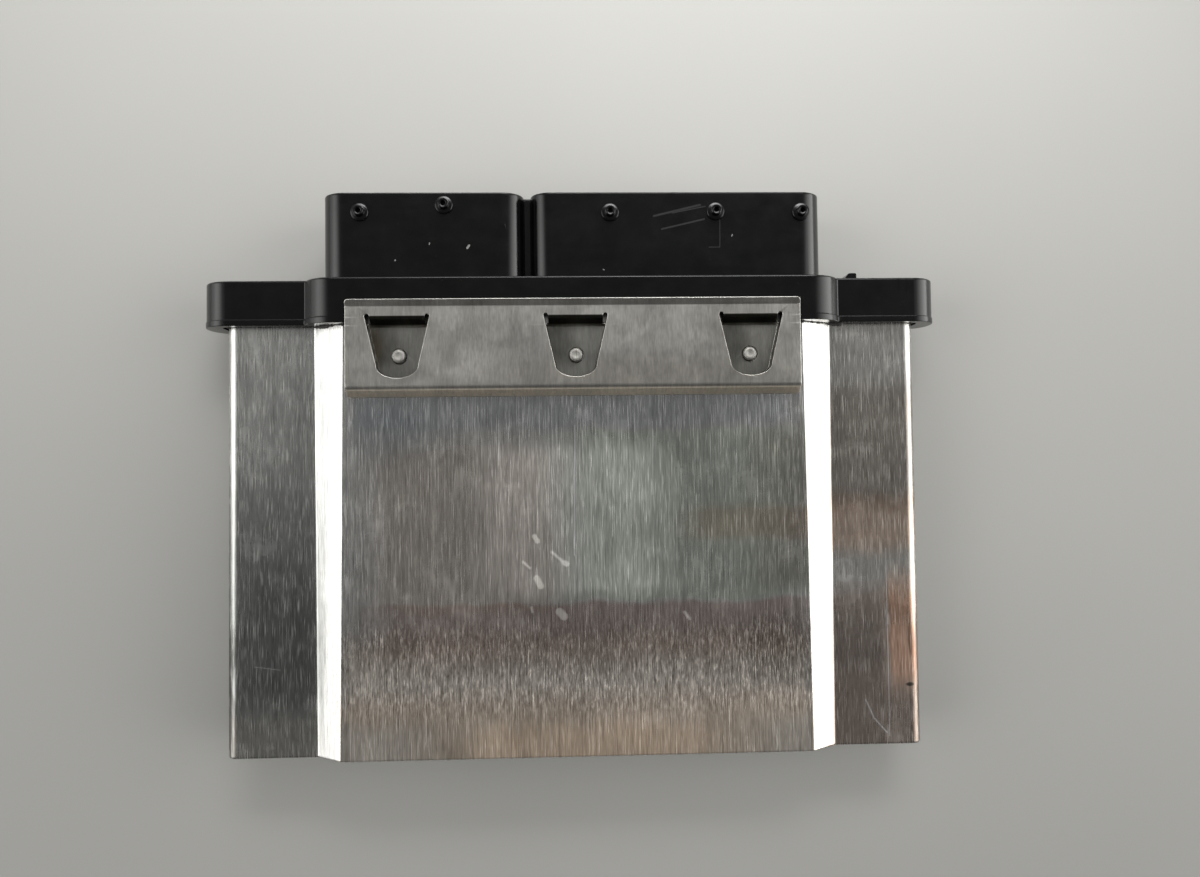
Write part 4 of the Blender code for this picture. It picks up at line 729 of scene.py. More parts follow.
# Windows behind the sockets for the pin carriers, pockets for the clip's tongues and keys for the plugs
CARRIERS = {name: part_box(name) for name in ("small_socket_pins", "large_socket_pins", "power_pins")}
FIT = 0.3 * MM
KEY_WIDTH, KEY_HEIGHT, KEY_SETBACK = 1.6 * MM, 0.9 * MM, 2.0 * MM
KEYS_BELOW, KEYS_ABOVE = (-57.0 * MM, -26.0 * MM), (-2.0 * MM, 24.0 * MM, 57.0 * MM)
KEY_BREAK = 0.15 * MM
windows = []
for low, high in CARRIERS.values():
    windows.append(block("window", (low.x - FIT, END_WALL_Y - PAST, low.z - FIT),
                         (high.x + FIT, FLANGE_FRONT_Y + PAST, high.z + FIT)))
combine(header, windows, "DIFFERENCE")
pockets = []
for x in WINDOW_PLACES:
    pockets.append(block("pocket", (x - TONGUE_POCKET_HALF, FLANGE_BACK_Y - PAST, MID_Z),
                         (x + TONGUE_POCKET_HALF, FLANGE_BACK_Y + TONGUE_POCKET_DEPTH, FLANGE_TOP_Z + PAST)))
combine(header, pockets, "DIFFERENCE")
key_low, key_high = SHROUD_BOTTOM_Z + SHROUD_WALL, SHROUD_TOP_Z - SHROUD_WALL
keys = []
for places, low, high in ((KEYS_BELOW, key_low - OVERLAP, key_low + KEY_HEIGHT),
                          (KEYS_ABOVE, key_high - KEY_HEIGHT, key_high + OVERLAP)):
    for x in places:
        front = SHROUD_FRONT_Y - KEY_SETBACK
        steps = ((FLANGE_FRONT_Y - OVERLAP, 0.0), (front - 2 * KEY_BREAK, 0.0), (front, KEY_BREAK))
        left, right = x - KEY_WIDTH / 2, x + KEY_WIDTH / 2
        keys.append(loft("key", [(y, rectangle(left + inset, low + inset, right - inset, high - inset))
                                 for y, inset in steps]))
combine(header, keys, "UNION")

# Nub in front of the right wing, and thin witness lines that the mould's inserts left on top
NUB = ((75.4, -0.2), (78.8, -0.2), (78.8, 1.2), (78.5, 1.4), (77.0, 1.4), (76.6, 1.3))
NUB_DROP, NUB_DEPTH = 0.6 * MM, 8.0 * MM
nub_plan = [(x * MM, FLANGE_FRONT_Y + y * MM) for x, y in NUB]
wing_top = MID_Z + FLANGE_WING_HALF
nub_top = wing_top - NUB_DROP
WITNESS_HALF, WITNESS_PROUD = 0.07 * MM, 0.05 * MM
WITNESS_LINES = (((-92.4, 53.0), (-92.4, 49.2)), ((-92.4, 49.2), (-90.4, 49.2)),
                 ((-77.7, 48.9), (-75.7, 48.9)), ((-75.7, 48.9), (-75.7, 46.6)),
                 ((90.6, 53.0), (90.6, 48.9)), ((92.8, 53.0), (92.8, 48.4)))
extras = [loft("nub", ((nub_top - NUB_DEPTH, nub_plan), (nub_top, nub_plan)), "Z")]
for (x0, y0), (x1, y1) in WITNESS_LINES:
    low_x, high_x = sorted((x0 * MM, x1 * MM))
    low_y, high_y = sorted((y0 * MM, y1 * MM))
    extras.append(block("line", (low_x - WITNESS_HALF, low_y - WITNESS_HALF, wing_top - 0.1 * MM),
                        (high_x + WITNESS_HALF, high_y + WITNESS_HALF, wing_top + WITNESS_PROUD)))
for extra in extras:
    combine(header, [extra], "UNION")

plastic, tree, shader = new_material("black_moulding", 0.0, 0.38)
place = object_place(tree)
mottle = noise(tree, place, 160.0, 4.0, 0.65)
skin = noise(tree, place, 2200.0, 2.0, 0.6)
flow = noise(tree, object_place(tree, (30.0, 140.0, 60.0)), 1.0, 3.0, 0.6, 0.8)
dust = between(tree, noise(tree, place, 700.0, 2.0, 0.7), 0.70, 0.76)
# Rubbed lines and small nicks on the shrouds' tops, at 24.6 mm and at the top itself
RUBS = (((22.0, 69.8, 24.6), (34.6, 72.8, 24.6), 0.10, 0.35),
        ((24.1, 66.2, 24.6), (35.7, 68.9, 24.6), 0.06, 0.3),
        ((27.0, 70.6, 24.6), (36.0, 72.4, 24.6), 0.05, 0.2),
        ((-18.5, 67.7, 24.6), (-17.4, 63.3, 24.6), 0.05, 0.1),
        ((40.0, 68.6, 24.6), (39.9, 61.2, 24.6), 0.05, 0.1),
        ((39.9, 61.2, 24.6), (36.9, 61.2, 24.6), 0.05, 0.1))
NICKS = (((-28.2, 61.9), (-28.7, 61.2), 0.20), ((-48.0, 58.0), (-48.1, 57.9), 0.10),
         ((43.2, 64.2), (43.4, 64.6), 0.06), ((-38.8, 62.6), (-38.9, 62.2), 0.05),
         ((8.0, 55.2), (8.2, 55.1), 0.06))
top = SHROUD_TOP_Z / MM
rubbed = strokes(tree, place, RUBS)
nicked = strokes(tree, place, [((*start, top), (*end, top), width, 0.15) for start, end, width in NICKS])
colour = ramp(tree, mottle, ((0.35, (0.0009, 0.0011, 0.0010)), (0.7, (0.0020, 0.0022, 0.0020))))
colour = mixed(tree, times(tree, dust, 0.03), colour, (0.25, 0.24, 0.22))
colour = mixed(tree, times(tree, rubbed, 0.05), colour, (0.5, 0.5, 0.5))
colour = mixed(tree, times(tree, nicked, 0.5), colour, (0.42, 0.42, 0.41))
gloss = plus(tree, times(tree, flow, 0.12), times(tree, mottle, 0.10))
surface(tree, shader, colour, plus(tree, gloss, 0.09))
bump(tree, shader, plus(tree, skin, times(tree, nicked, -2.0)), 0.00002, 0.1)
finished(header, plastic, "black_moulding", "connector_header")

# Pegs: five hollow pegs of the same moulding stand on the shrouds, each on a low round base. A plug's
# cover slips over them. One turned pattern is set on five points.
PEG_PLACES = ((-57.5, 71.0), (-34.9, 72.9), (10.0, 70.8), (38.8, 71.0), (62.3, 70.8))
PEG_PROFILE = ((2.42, -1.0), (2.42, 0.0), (2.40, 0.38), (2.32, 0.52), (2.18, 0.60), (1.62, 0.60),
               (1.46, 0.66), (1.40, 0.80), (1.40, 1.95), (1.34, 2.12), (1.22, 2.20), (0.86, 2.20),
               (0.75, 2.14), (0.70, 2.0), (0.70, 0.4))


def pattern_tree(name, grid):
    """Repeats a pattern on a grid or on the points of the mesh, and turns it into one finished mesh."""
    tree = bpy.data.node_groups.new(name, "GeometryNodeTree")
    wanted = [("Points", "Geometry")]
    if grid:
        wanted += [("Columns", "Int"), ("Rows", "Int"), ("Column Pitch", "Float"), ("Row Pitch", "Float"),
                   ("Centre", "Vector")]
    for label, kind in (*wanted, ("Pattern", "Object"), ("Finish", "Material")):
        tree.interface.new_socket(label, in_out="INPUT", socket_type="NodeSocket" + kind)
    tree.interface.new_socket("Pieces", in_out="OUTPUT", socket_type="NodeSocketGeometry")
    taken = tree.nodes.new("NodeGroupInput").outputs
    points = taken["Points"]
    if grid:
        sizes = {}
        for axis, count, pitch in (("X", "Columns", "Column Pitch"), ("Y", "Rows", "Row Pitch")):
            sizes["Size " + axis] = times(tree, maths(tree, "SUBTRACT", taken[count], 1.0), taken[pitch])
            sizes["Vertices " + axis] = taken[count]
        plate = wired(tree, "GeometryNodeMeshGrid", sizes, "Mesh")
        points = wired(tree, "GeometryNodeTransform", {"Geometry": plate, "Translation": taken["Centre"],
                                                       "Rotation": (math.pi / 2, 0.0, 0.0)}, "Geometry")
    pattern = wired(tree, "GeometryNodeObjectInfo", {"Object": taken["Pattern"]}, "Geometry")
    inputs = {"Points": points, "Instance": pattern}
    set_out = wired(tree, "GeometryNodeInstanceOnPoints", inputs, "Instances")
    real = wired(tree, "GeometryNodeRealizeInstances", {"Geometry": set_out}, "Geometry")
    inputs = {"Geometry": real, "Material": taken["Finish"]}
    painted = wired(tree, "GeometryNodeSetMaterial", inputs, "Geometry")
    link(tree, painted, tree.nodes.new("NodeGroupOutput").inputs["Pieces"])
    return tree


def repeated(name, tree, pattern, values, points=()):
    """Plain mesh object of a pattern that a tree repeats; the pattern itself is removed."""
    base = bpy.data.meshes.new(name)
    base.from_pydata(points, [], [])
    thing = bpy.data.objects.new(name, base)
    bpy.context.scene.collection.objects.link(thing)
    step = thing.modifiers.new("repeat", "NODES")
    step.node_group = tree
    for item in tree.interface.items_tree:
        if item.in_out == "INPUT" and item.name in values:
            step[item.identifier] = values[item.name]
        elif item.in_out == "INPUT" and item.name == "Pattern":
            step[item.identifier] = pattern
    evaluated = thing.evaluated_get(bpy.context.evaluated_depsgraph_get())
    thing.data = bpy.data.meshes.new_from_object(evaluated)
    thing.modifiers.clear()
    bpy.data.objects.remove(pattern, do_unlink=True)
    return thing


peg_profile = [(radius * MM, height * MM) for radius, height in PEG_PROFILE]
peg_pattern = turned("peg_pattern", peg_profile, (0.0, 0.0), 40)
pegs = repeated("plug_cover_pegs", pattern_tree("pegs_on_points", False), peg_pattern, {"Finish": plastic},
                [(x * MM, y * MM, SHROUD_TOP_Z) for x, y in PEG_PLACES])
finished(pegs, plastic, "black_moulding", "connector_header")

# Pins: each field is a black carrier plate with low square collars, which holds rows of square tin-plated
# pins with tapered tips. Behind the plate each pin runs back and bends onto the board in its own row.
# Each field as columns, rows, column pitch, row pitch, pin width and pin height, in mm
FIELDS = {"small_socket_pins": (14, 4, 3.2, 3.8, 0.64, 0.64),
          "large_socket_pins": (20, 4, 2.8, 3.8, 0.64, 0.64),
          "power_pins": (3, 2, 4.4, 7.6, 2.4, 0.8)}
CARRIER_PROUD = 0.6 * MM
COLLAR_MARGIN, COLLAR_PROUD, COLLAR_BREAK = 0.45 * MM, 0.35 * MM, 0.12 * MM
TIP_TAPER = 0.8 * MM
FIRST_TAIL, TAIL_STEP = 3.4 * MM, 2.2 * MM
TAIL_BEND = 0.9 * MM
carrier_face = FLANGE_FRONT_Y + CARRIER_PROUD
pin_grid = pattern_tree("pins_on_a_grid", True)


def swept_bar(name, stations):
    """Bar through stations given as (middle y, middle z, width, height, tilt of the section)."""
    mesh = bmesh.new()
    rings = []
    for y, z, width, height, tilt in stations:
        ring = []
        for across, up in ((-1, -1), (1, -1), (1, 1), (-1, 1)):
            ring.append(mesh.verts.new((across * width / 2, y - math.sin(tilt) * up * height / 2,
                                        z + math.cos(tilt) * up * height / 2)))
        rings.append(ring)
    joined_rings(mesh, rings)
    return mesh_object(name, mesh)


def pin_stations(width, height, tip_y, row, rows, pitch):
    """A pin from its tip back through the carrier and onto the board, with its row's height at 0."""
    z = (row - (rows - 1) / 2) * pitch
    upper = row >= rows / 2
    outward = row - rows // 2 if upper else (rows - 1) // 2 - row
    bend_y = END_WALL_Y - FIRST_TAIL - TAIL_STEP * (2 * outward + (0 if upper else 1))
    end = BOARD_HIGH.z + FIT if upper else BOARD_LOW.z - FIT
    side = 1 if upper else -1
    stations = [(tip_y - back, 0.0, width * share, height * share, 0.0)
                for back, share in ((0.0, 0.42), (0.1 * MM, 0.58), (TIP_TAPER, 1.0))]
    stations.append((bend_y + TAIL_BEND, 0.0, width, height, 0.0))
    for step in range(1, 5):
        angle = math.pi / 2 * step / 4
        stations.append((bend_y + TAIL_BEND * (1 - math.sin(angle)),
                         -side * TAIL_BEND * (1 - math.cos(angle)), width, height, -side * angle))
    stations.append((bend_y, end - MID_Z - z, width, height, -side * math.pi / 2))
    return stations


tinned, tree, shader = new_material("tinned_pins", 1.0)
spangle = noise(tree, object_place(tree), 1800.0, 3.0)
surface(tree, shader, ramp(tree, spangle, ((0.3, (0.60, 0.58, 0.54)), (0.7, (0.78, 0.76, 0.71)))),
        ramp(tree, spangle, ((0.3, 0.34), (0.7, 0.22))))

for node, (columns, rows, *sizes) in FIELDS.items():
    low, high = CARRIERS[node]
    middle_x = (low.x + high.x) / 2
    column_pitch, row_pitch, width, height = (size * MM for size in sizes)
    plate = block(node + "_plate", (low.x, END_WALL_Y, low.z), (high.x, carrier_face, high.z))
    steps = []
    for inset, y in ((0.0, carrier_face - OVERLAP), (0.0, carrier_face + COLLAR_PROUD - COLLAR_BREAK),
                     (COLLAR_BREAK, carrier_face + COLLAR_PROUD)):
        x, z = width / 2 + COLLAR_MARGIN - inset, height / 2 + COLLAR_MARGIN - inset
        steps.append((y, rectangle(-x, -z, x, z)))
    values = {"Columns": columns, "Rows": rows, "Column Pitch": column_pitch, "Row Pitch": row_pitch,
              "Centre": (middle_x, 0.0, MID_Z), "Finish": plastic}
    collars = repeated("collars", pin_grid, loft("collar_pattern", steps), values)
    combine(plate, [collars], "UNION")
    plate.name = node.replace("_pins", "") + "_carrier"
    finished(plate, plastic, "black_moulding", node)

    field = bmesh.new()
    for row in range(rows):
        place_z = MID_Z + (row - (rows - 1) / 2) * row_pitch
        pattern = swept_bar("pin_pattern", pin_stations(width, height, high.y, row, rows, row_pitch))
        values.update({"Rows": 1, "Centre": (middle_x, 0.0, place_z), "Finish": tinned})
        row_pins = repeated("row", pin_grid, pattern, values)
        field.from_mesh(row_pins.data)
        bpy.data.objects.remove(row_pins, do_unlink=True)
    finished(mesh_object(node.replace("_pins", "") + "_pin_field", field), tinned, "tinned_pins", node)

# Clip: one spring steel sheet, blanked and bent. Its front lip turns up, its heel turns down onto the
# can, and three tongues are lanced free along their sides. Each hinges between two round notches, drops
# through a pocket in the flange and hooks over a stud, so that the header can't slide off.
CLIP_HALF_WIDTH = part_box("retaining_clip")[1].x
CLIP_SHEET = 0.6 * MM
CLIP_LIP_Y, CLIP_LIP_START_Y, CLIP_LIP_RISE = 47.1 * MM, 45.3 * MM, 0.9 * MM
CLIP_BEND_Y, CLIP_HEEL_Y = 23.3 * MM, 21.3 * MM
CLIP_HEEL_RADIUS, CLIP_LIP_RADIUS = 1.5 * MM, 1.0 * MM
CLIP_FRONT_CORNER, CLIP_HEEL_CORNER = 0.9 * MM, 0.4 * MM
CLIP_EDGE_ROUND = 0.14 * MM
WINDOW_FRONT_Y, WINDOW_SIDE_END_Y, WINDOW_BACK_Y = 42.5 * MM, 29.4 * MM, 26.0 * MM
WINDOW_HALF_FRONT, WINDOW_HALF_BACK = 8.65 * MM, 5.6 * MM
NOTCH_RADIUS = 0.65 * MM
KERF = 0.14 * MM
NECK_HALF = WINDOW_HALF_FRONT - 2 * NOTCH_RADIUS
TONGUE_DROP = 2.4 * MM
TONGUE_SHOULDER_Y = WINDOW_FRONT_Y - TONGUE_DROP + CLIP_SHEET
TONGUE_BEND = 0.5 * MM
HOLE_RADIUS, HOLE_SHIFT = 2.12 * MM, 0.15 * MM
FLAT_Z = FLANGE_TOP_Z + FIT + CLIP_SHEET / 2
TONGUE_Z = CAN_TOP_Z + FIT + CLIP_SHEET / 2


def bent_path(corners, steps=7):
    """Stations (y, z, slope angle) along a bent sheet's middle, from (y, z, bend radius) corners."""
    stations = []
    for index, (y, z, radius) in enumerate(corners):
        here = Vector((y, z))
        ahead = Vector(corners[min(index + 1, len(corners) - 1)][:2]) - here
        behind = here - Vector(corners[max(index - 1, 0)][:2])
        ahead = ahead if ahead.length > 0 else behind
        behind = behind if behind.length > 0 else ahead
        first, last = math.atan2(behind.y, behind.x), math.atan2(ahead.y, ahead.x)
        if radius <= 0:
            stations.append((y, z, last))
            continue
        reach = radius * math.tan(abs(last - first) / 2)
        start = here - behind.normalized() * reach
        side = 1 if last > first else -1
        centre = start + Vector((-math.sin(first), math.cos(first))) * radius * side
        for step in range(steps + 1):
            angle = first + (last - first) * step / steps
            spot = centre - Vector((-math.sin(angle), math.cos(angle))) * radius * side
            stations.append((spot.x, spot.y, angle))
    return stations


SHEET_PATH = bent_path(((CLIP_HEEL_Y, CAN_TOP_Z + FIT, 0), (CLIP_BEND_Y, FLAT_Z, CLIP_HEEL_RADIUS),
                        (CLIP_LIP_START_Y, FLAT_Z, CLIP_LIP_RADIUS), (CLIP_LIP_Y, FLAT_Z + CLIP_LIP_RISE, 0)))
TONGUE_PATH = bent_path(((WINDOW_BACK_Y - PAST, TONGUE_Z, 0),
                         (WINDOW_FRONT_Y - TONGUE_DROP, TONGUE_Z, TONGUE_BEND),
                         (WINDOW_FRONT_Y - TONGUE_BEND * 0.6, FLAT_Z, TONGUE_BEND),
                         (WINDOW_FRONT_Y, FLAT_Z, 0), (CLIP_LIP_START_Y, FLAT_Z, 0)))


def on_path(path, y, offset):
    """Place in Y and Z of a point of the flat sheet at y, offset from its middle towards the top."""
    for (y0, z0, angle0), (y1, z1, angle1) in zip(path, path[1:]):
        if y <= y1 or (y1, z1, angle1) == path[-1]:
            share = (y - y0) / (y1 - y0) if y1 > y0 else 0.0
            angle = angle0 + (angle1 - angle0) * share if abs(angle1 - angle0) < 1.0 else angle0
            return (y - math.sin(angle) * offset, z0 + (z1 - z0) * share + math.cos(angle) * offset)
    return (y, path[-1][1] + offset)


def arc_points(centre, radius_x, radius_y, first, last, steps):
    points = []
    for step in range(steps + 1):
        angle = math.radians(first + (last - first) * step / steps)
        points.append((centre[0] + radius_x * math.cos(angle), centre[1] + radius_y * math.sin(angle)))
    return points


def half_window(y, inset=0.0):
    slant = (WINDOW_HALF_FRONT - WINDOW_HALF_BACK) / (WINDOW_FRONT_Y - WINDOW_SIDE_END_Y)
    if y >= WINDOW_SIDE_END_Y:
        return WINDOW_HALF_FRONT - (WINDOW_FRONT_Y - y) * slant - inset
    depth = WINDOW_SIDE_END_Y - WINDOW_BACK_Y - inset
    share = (WINDOW_SIDE_END_Y - y) / depth
    return (WINDOW_HALF_BACK - inset) * math.sqrt(1 - share * share) if share < 1 else -1.0


def slit_loop(x):
    """The lanced slit round a tongue with its two notches, as one closed outline."""
    front, end = WINDOW_FRONT_Y, WINDOW_SIDE_END_Y
    depth = end - WINDOW_BACK_Y
    shoulder = half_window(TONGUE_SHOULDER_Y, KERF)
    loop = arc_points((x + WINDOW_HALF_FRONT - NOTCH_RADIUS, front), NOTCH_RADIUS, NOTCH_RADIUS, 0, 180, 12)
    loop += [(x + NECK_HALF, TONGUE_SHOULDER_Y), (x + shoulder, TONGUE_SHOULDER_Y)]
    loop += arc_points((x, end), WINDOW_HALF_BACK - KERF, depth - KERF, 0, -180, 36)
    loop += [(x - shoulder, TONGUE_SHOULDER_Y), (x - NECK_HALF, TONGUE_SHOULDER_Y)]
    loop += arc_points((x - WINDOW_HALF_FRONT + NOTCH_RADIUS, front), NOTCH_RADIUS, NOTCH_RADIUS, 0, 180, 12)
    loop += arc_points((x, end), WINDOW_HALF_BACK, depth, -180, 0, 36)
    return loop


def sheet_corners(half_width, back, front):
    back_round, front_round = CLIP_HEEL_CORNER, CLIP_FRONT_CORNER
    loop = arc_points((half_width - back_round, back + back_round), back_round, back_round, -90, 0, 6)
    loop += arc_points((half_width - front_round, front - front_round), front_round, front_round, 0, 90, 8)
    loop += arc_points((-half_width + front_round, front - front_round), front_round, front_round, 90, 180, 8)
    loop += arc_points((-half_width + back_round, back + back_round), back_round, back_round, 180, 270, 6)
    return loop


def area_of(loop):
    return sum(x0 * y1 - x1 * y0 for (x0, y0), (x1, y1) in zip(loop, loop[1:] + loop[:1])) / 2


def drawn_in(loop, distance):
    """The outline moved to its left by a distance."""
    moved = []
    for index, point in enumerate(loop):
        here = Vector(point)
        before = (here - Vector(loop[index - 1])).normalized()
        after = (Vector(loop[(index + 1) % len(loop)]) - here).normalized()
        sides = Vector((-before.y, before.x)), Vector((-after.y, after.x))
        mitre = (sides[0] + sides[1]) / max(0.5, 1 + sides[0].dot(sides[1]))
        moved.append(tuple(here + mitre * distance))
    return moved


def inside(x, y, loop):
    odd = False
    for (x0, y0), (x1, y1) in zip(loop, loop[1:] + loop[:1]):
        if (y0 > y) != (y1 > y) and x < (x1 - x0) * (y - y0) / (y1 - y0) + x0:
            odd = not odd
    return odd


def blanked_sheet(outer, holes, thickness, edge_round, steps=3):
    """Flat sheet round the middle plane, with holes and with rounded edges on both faces."""
    loops = [outer if area_of(outer) > 0 else outer[::-1]]
    loops += [hole[::-1] if area_of(hole) > 0 else hole for hole in holes]
    mesh = bmesh.new()
    faces_top, faces_bottom, flat, edges = [], [], [], []
    for loop in loops:
        rings = []
        for side in (1, -1):
            for step in range(steps + 1):
                angle = math.pi / 2 * (step if side > 0 else steps - step) / steps
                height = side * (thickness / 2 - edge_round * (1 - math.cos(angle)))
                ring = drawn_in(loop, edge_round * (1 - math.sin(angle)))
                rings.append([mesh.verts.new((x, y, height)) for x, y in ring])
        count = len(loop)
        for upper, lower in zip(rings, rings[1:]):
            for index in range(count):
                after = (index + 1) % count
                mesh.faces.new((upper[index], lower[index], lower[after], upper[after]))
        first = len(flat)
        flat += [vert.co.xy.copy() for vert in rings[0]]
        edges += [(first + index, first + (index + 1) % count) for index in range(count)]
        faces_top += rings[0]
        faces_bottom += rings[-1]
    points, _, triangles, sources, _, _ = geometry.delaunay_2d_cdt(flat, edges, [], 0, 1e-9)
    borders = [drawn_in(loop, edge_round) for loop in loops]
    for triangle in triangles:
        x = sum(points[index].x for index in triangle) / 3
        y = sum(points[index].y for index in triangle) / 3
        if not inside(x, y, borders[0]) or any(inside(x, y, border) for border in borders[1:]):
            continue
        corners = [sources[index][0] for index in triangle]
        mesh.faces.new([faces_top[index] for index in corners])
        mesh.faces.new([faces_bottom[index] for index in reversed(corners)])
    return mesh


slits = [slit_loop(x) for x in WINDOW_PLACES]
stud_holes = [arc_points((x + HOLE_SHIFT, STUD_Y), HOLE_RADIUS, HOLE_RADIUS, 0, 352.5, 47)
              for x in WINDOW_PLACES]
sheet = blanked_sheet(sheet_corners(CLIP_HALF_WIDTH, CLIP_HEEL_Y, CLIP_LIP_Y), slits + stud_holes,
                      CLIP_SHEET, CLIP_EDGE_ROUND)
for y in sorted({round(station[0], 7) for station in SHEET_PATH + TONGUE_PATH}):
    if CLIP_HEEL_Y < y < CLIP_LIP_Y:
        bmesh.ops.bisect_plane(sheet, geom=sheet.verts[:] + sheet.edges[:] + sheet.faces[:], dist=1e-8,
                               plane_co=(0, y, 0), plane_no=(0, 1, 0))
bmesh.ops.triangulate(sheet, faces=[face for face in sheet.faces if len(face.verts) > 4])
for vert in sheet.verts:
    on_tongue = any(abs(vert.co.x - x) < half_window(vert.co.y, KERF / 2) for x in WINDOW_PLACES)
    path = TONGUE_PATH if on_tongue and vert.co.y < WINDOW_FRONT_Y else SHEET_PATH
    vert.co.y, vert.co.z = on_path(path, vert.co.y, vert.co.z)
clip = mesh_object("clip_sheet", sheet)

steel, tree, shader = new_material("spring_steel", 1.0)
place = object_place(tree)
grained = noise(tree, object_place(tree, (3000.0, 420.0, 900.0)), 1.0, 2.0, 0.6)
rolled = noise(tree, object_place(tree, (900.0, 90.0, 200.0)), 1.0, 3.0, 0.6)
matt = noise(tree, place, 120.0, 4.0, 0.6, 0.5)
rolling = plus(tree, times(tree, grained, 0.5), times(tree, rolled, 0.5))
colour = ramp(tree, rolling, ((0.32, (0.49, 0.475, 0.44)), (0.68, (0.70, 0.68, 0.635))))
colour = mixed(tree, 1.0, colour, ramp(tree, matt, ((0.3, 0.86), (0.7, 1.0))), "MULTIPLY")
# Painted shade on the lowered tongues and near-black painted shade in the drops behind their hinges, painted
# light down the heel, a painted brownish reflection on the left tongue, the flat lighter left of the middle
# and darker towards its right end, and dulled in a band near the heel
_, sheet_y, sheet_z = axes_of(tree, place)
top = FLAT_Z + CLIP_SHEET / 2
# Painted shade: the tongues that lie below the flat are darkened
sunk = between(tree, sheet_z, top - 0.1 * MM, top - 0.6 * MM)
sunk = times(tree, sunk, between(tree, sheet_y, CLIP_BEND_Y + 0.6 * MM, CLIP_BEND_Y + 1.4 * MM))
colour = tinted(tree, colour, sunk, (0.60, 0.61, 0.60))
# Painted shade, deeper on the left of each tongue
shaded = strongest(tree, [patch(tree, place, (x - 4.6 * MM, 35.5 * MM, TONGUE_Z),
                                (6.5 * MM, 9.5 * MM, 4.0 * MM), 0.3) for x in WINDOW_PLACES])
colour = tinted(tree, colour, times(tree, shaded, sunk), (0.55, 0.55, 0.54))
# Painted shade: near-black bands on the drops behind the tongues' hinges
drop = strongest(tree, [zone(tree, place, (x / MM - 7.9, 40.0), (x / MM + 7.9, 42.75), (0.3, 0.7, 0.2))
                        for x in WINDOW_PLACES])
colour = tinted(tree, colour, drop, (0.06, 0.06, 0.055))
# Painted light: the heel that turns down towards the back is made paler
heel = between(tree, sheet_y, CLIP_BEND_Y + 0.2 * MM, CLIP_BEND_Y - 0.8 * MM)
colour = tinted(tree, colour, heel, (1.62, 1.48, 1.32))
# Painted reflection: a brownish dark patch on the left tongue
painted_brown_reflection = patch(tree, place, (-54.0 * MM, 34.5 * MM, TONGUE_Z), (4.0 * MM, 9.0 * MM, 3.0 * MM), 0.2)
colour = tinted(tree, colour, painted_brown_reflection, (0.62, 0.50, 0.38), 0.7)
# The flat made darker towards its right end and lighter left of the middle
colour = toned(tree, place, colour, (((30.0, 20.0), (64.0, 46.0), (22.0, 0.5, 0.5), (0.82, 0.82, 0.81)),
                                     ((-44.0, 22.0), (-14.0, 46.0), (9.0, 3.0, 3.0), (1.14, 1.14, 1.13))))
dulled = patch(tree, place, (20.0 * MM, 27.0 * MM, FLAT_Z), (55.0 * MM, 6.0 * MM, 3.0 * MM), 0.3)
colour = tinted(tree, colour, times(tree, dulled, matt), (0.86, 0.82, 0.78), 0.9)
rough = plus(tree, times(tree, matt, 0.16), maths(tree, "MULTIPLY_ADD", grained, 0.10, 0.20))
surface(tree, shader, colour, rough)
bump(tree, shader, grained, 0.00002, 0.3)
finished(clip, steel, "spring_steel", "retaining_clip")

# Seal: a bead of grey sealant fills the groove between can and flange. A little of it was squeezed out
# along the slopes' tops and has gathered dirt.
sealant, tree, shader = new_material("grey_sealant")
lumps = noise(tree, object_place(tree), 900.0, 4.0, 0.6)
surface(tree, shader, ramp(tree, lumps, ((0.3, (0.035, 0.033, 0.030)), (0.7, (0.10, 0.095, 0.088)))),
        ramp(tree, lumps, ((0.3, 0.5), (0.7, 0.75))))
bump(tree, shader, lumps, 0.0002, 0.5)
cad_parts["header_seal"].data.materials[0] = sealant

SQUEEZE_SEED = 11
SQUEEZE_SIDES = 8
SQUEEZE_STEP = 0.35 * MM
SQUEEZE_START, SQUEEZE_LONGER = 3.0 * MM, 7.0 * MM      # past the slope's top, and longer than the slope
SQUEEZE_THIN, SQUEEZE_THICK, SQUEEZE_CHANGE = 0.10, 0.62, 0.17
drops = random.Random(SQUEEZE_SEED)
mouth_slope = slope_at(FLANGE_BACK_Y)
squeezed = bmesh.new()
for side in (-1, 1):
    foot, shoulder = mouth_slope
    slope_length = math.hypot(foot - shoulder, CAN_CROWN_HALF - CAN_WING_HALF)
    count = int((slope_length + SQUEEZE_LONGER) / SQUEEZE_STEP)
    rings = []
    thick = 0.3
    for index in range(count + 1):
        share = (index * SQUEEZE_STEP - SQUEEZE_START) / slope_length
        level = max(0.0, min(1.0, share))
        x = shoulder + (foot - shoulder) * level + (share - level) * slope_length
        z = CAN_TOP_Z - (CAN_CROWN_HALF - CAN_WING_HALF) * level
        change = drops.uniform(-SQUEEZE_CHANGE, SQUEEZE_CHANGE)
        thick = max(SQUEEZE_THIN, min(SQUEEZE_THICK, thick + change))
        radius = thick * MM * (0.15 if index in (0, count) else 1.0)
        y = FLANGE_BACK_Y + 0.05 * MM - radius * 0.35
        lean = drops.uniform(-0.1, 0.1) * MM
        ring = []
        for step in range(SQUEEZE_SIDES):
            around = 2 * math.pi * step / SQUEEZE_SIDES
            ring.append(squeezed.verts.new((side * x + lean * math.sin(around), y + radius * math.cos(around),
                                            z + radius * 0.7 * math.sin(around) + 0.1 * MM)))
        rings.append(ring)
    joined_rings(squeezed, rings)
finished(mesh_object("squeezed_sealant", squeezed), sealant, "grey_sealant", sharp=80.0)

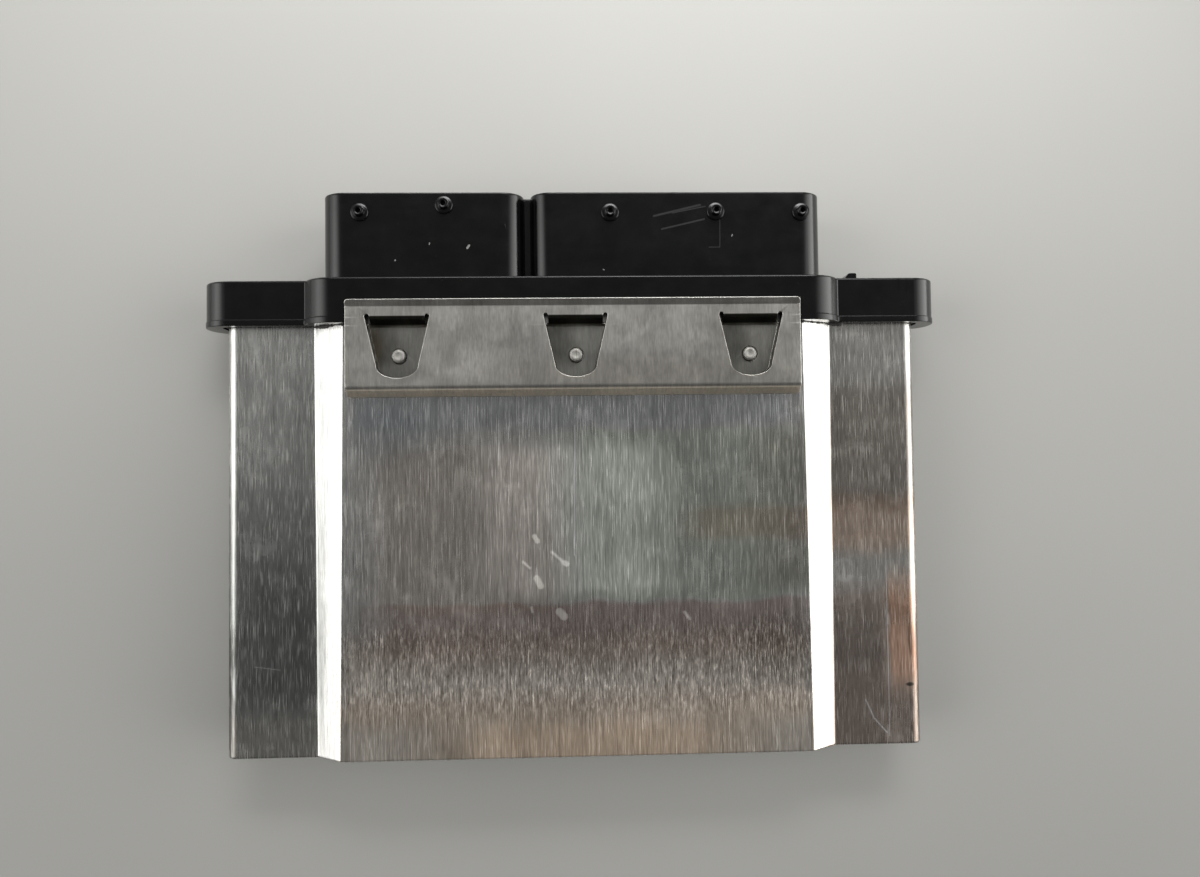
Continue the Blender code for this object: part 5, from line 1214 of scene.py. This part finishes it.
# Board: green glass-fibre laminate under solder mask, with copper tracks showing through it. It slides in
# the can's ribs and is screwed to the header's arms. Only its finish is set here; nothing outside shows it.
board_green, tree, shader = new_material("green_board")
weave = wired(tree, "ShaderNodeTexBrick",
              {"Vector": object_place(tree, (1.0, 1.0, 0.0)), "Scale": 140.0, "Mortar Size": 0.03,
               "Color1": (0.010, 0.085, 0.030), "Color2": (0.008, 0.070, 0.026),
               "Mortar": (0.022, 0.13, 0.050)})
mask = noise(tree, object_place(tree), 60.0, 3.0)
surface(tree, shader, mixed(tree, times(tree, mask, 0.4), weave, (0.006, 0.05, 0.02)),
        ramp(tree, mask, ((0.3, 0.22), (0.7, 0.38))))
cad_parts["circuit_board"].data.materials[0] = board_green

# Components: moulded chips, aluminium can capacitors, a ferrite coil, the crystal's steel case, zinc-plated
# screws and heat paste. They stay as built and get their finishes.
# Each finish as name, metallic, dark and light colour, grain, roughness where dark and light, and nodes
FINISHES = (
    ("chip_black", 0.0, (0.011, 0.011, 0.012), (0.022, 0.022, 0.023), 500.0, (0.5, 0.62),
     ("microcontroller", "injector_driver", "throttle_driver", "supply_chip", "memory_chip", "network_chip",
      "ignition_switch_1", "ignition_switch_2", "ignition_switch_3", "ignition_switch_4")),
    ("capacitor_can", 1.0, (0.58, 0.58, 0.59), (0.74, 0.74, 0.75), 300.0, (0.25, 0.4),
     ("buffer_capacitor_1", "buffer_capacitor_2", "buffer_capacitor_3", "clock_crystal")),
    ("ferrite_grey", 0.0, (0.045, 0.045, 0.048), (0.075, 0.075, 0.08), 700.0, (0.55, 0.75), ("boost_coil",)),
    ("screw_steel", 1.0, (0.50, 0.50, 0.49), (0.66, 0.66, 0.64), 400.0, (0.28, 0.42),
     ("board_screw_left", "board_screw_right")),
    ("thermal_paste", 0.0, (0.24, 0.34, 0.45), (0.34, 0.45, 0.56), 260.0, (0.7, 0.9),
     ("thermal_pad_left", "thermal_pad_right")),
)
for name, metallic, dark, light, scale, roughness, nodes in FINISHES:
    finish, tree, shader = new_material(name, metallic)
    grain_of = noise(tree, object_place(tree), scale, 3.0)
    surface(tree, shader, ramp(tree, grain_of, ((0.3, dark), (0.7, light))),
            ramp(tree, grain_of, ((0.3, roughness[0]), (0.7, roughness[1]))))
    bump(tree, shader, grain_of, 0.00003, 0.3)
    for node in nodes:
        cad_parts[node].data.materials[0] = finish
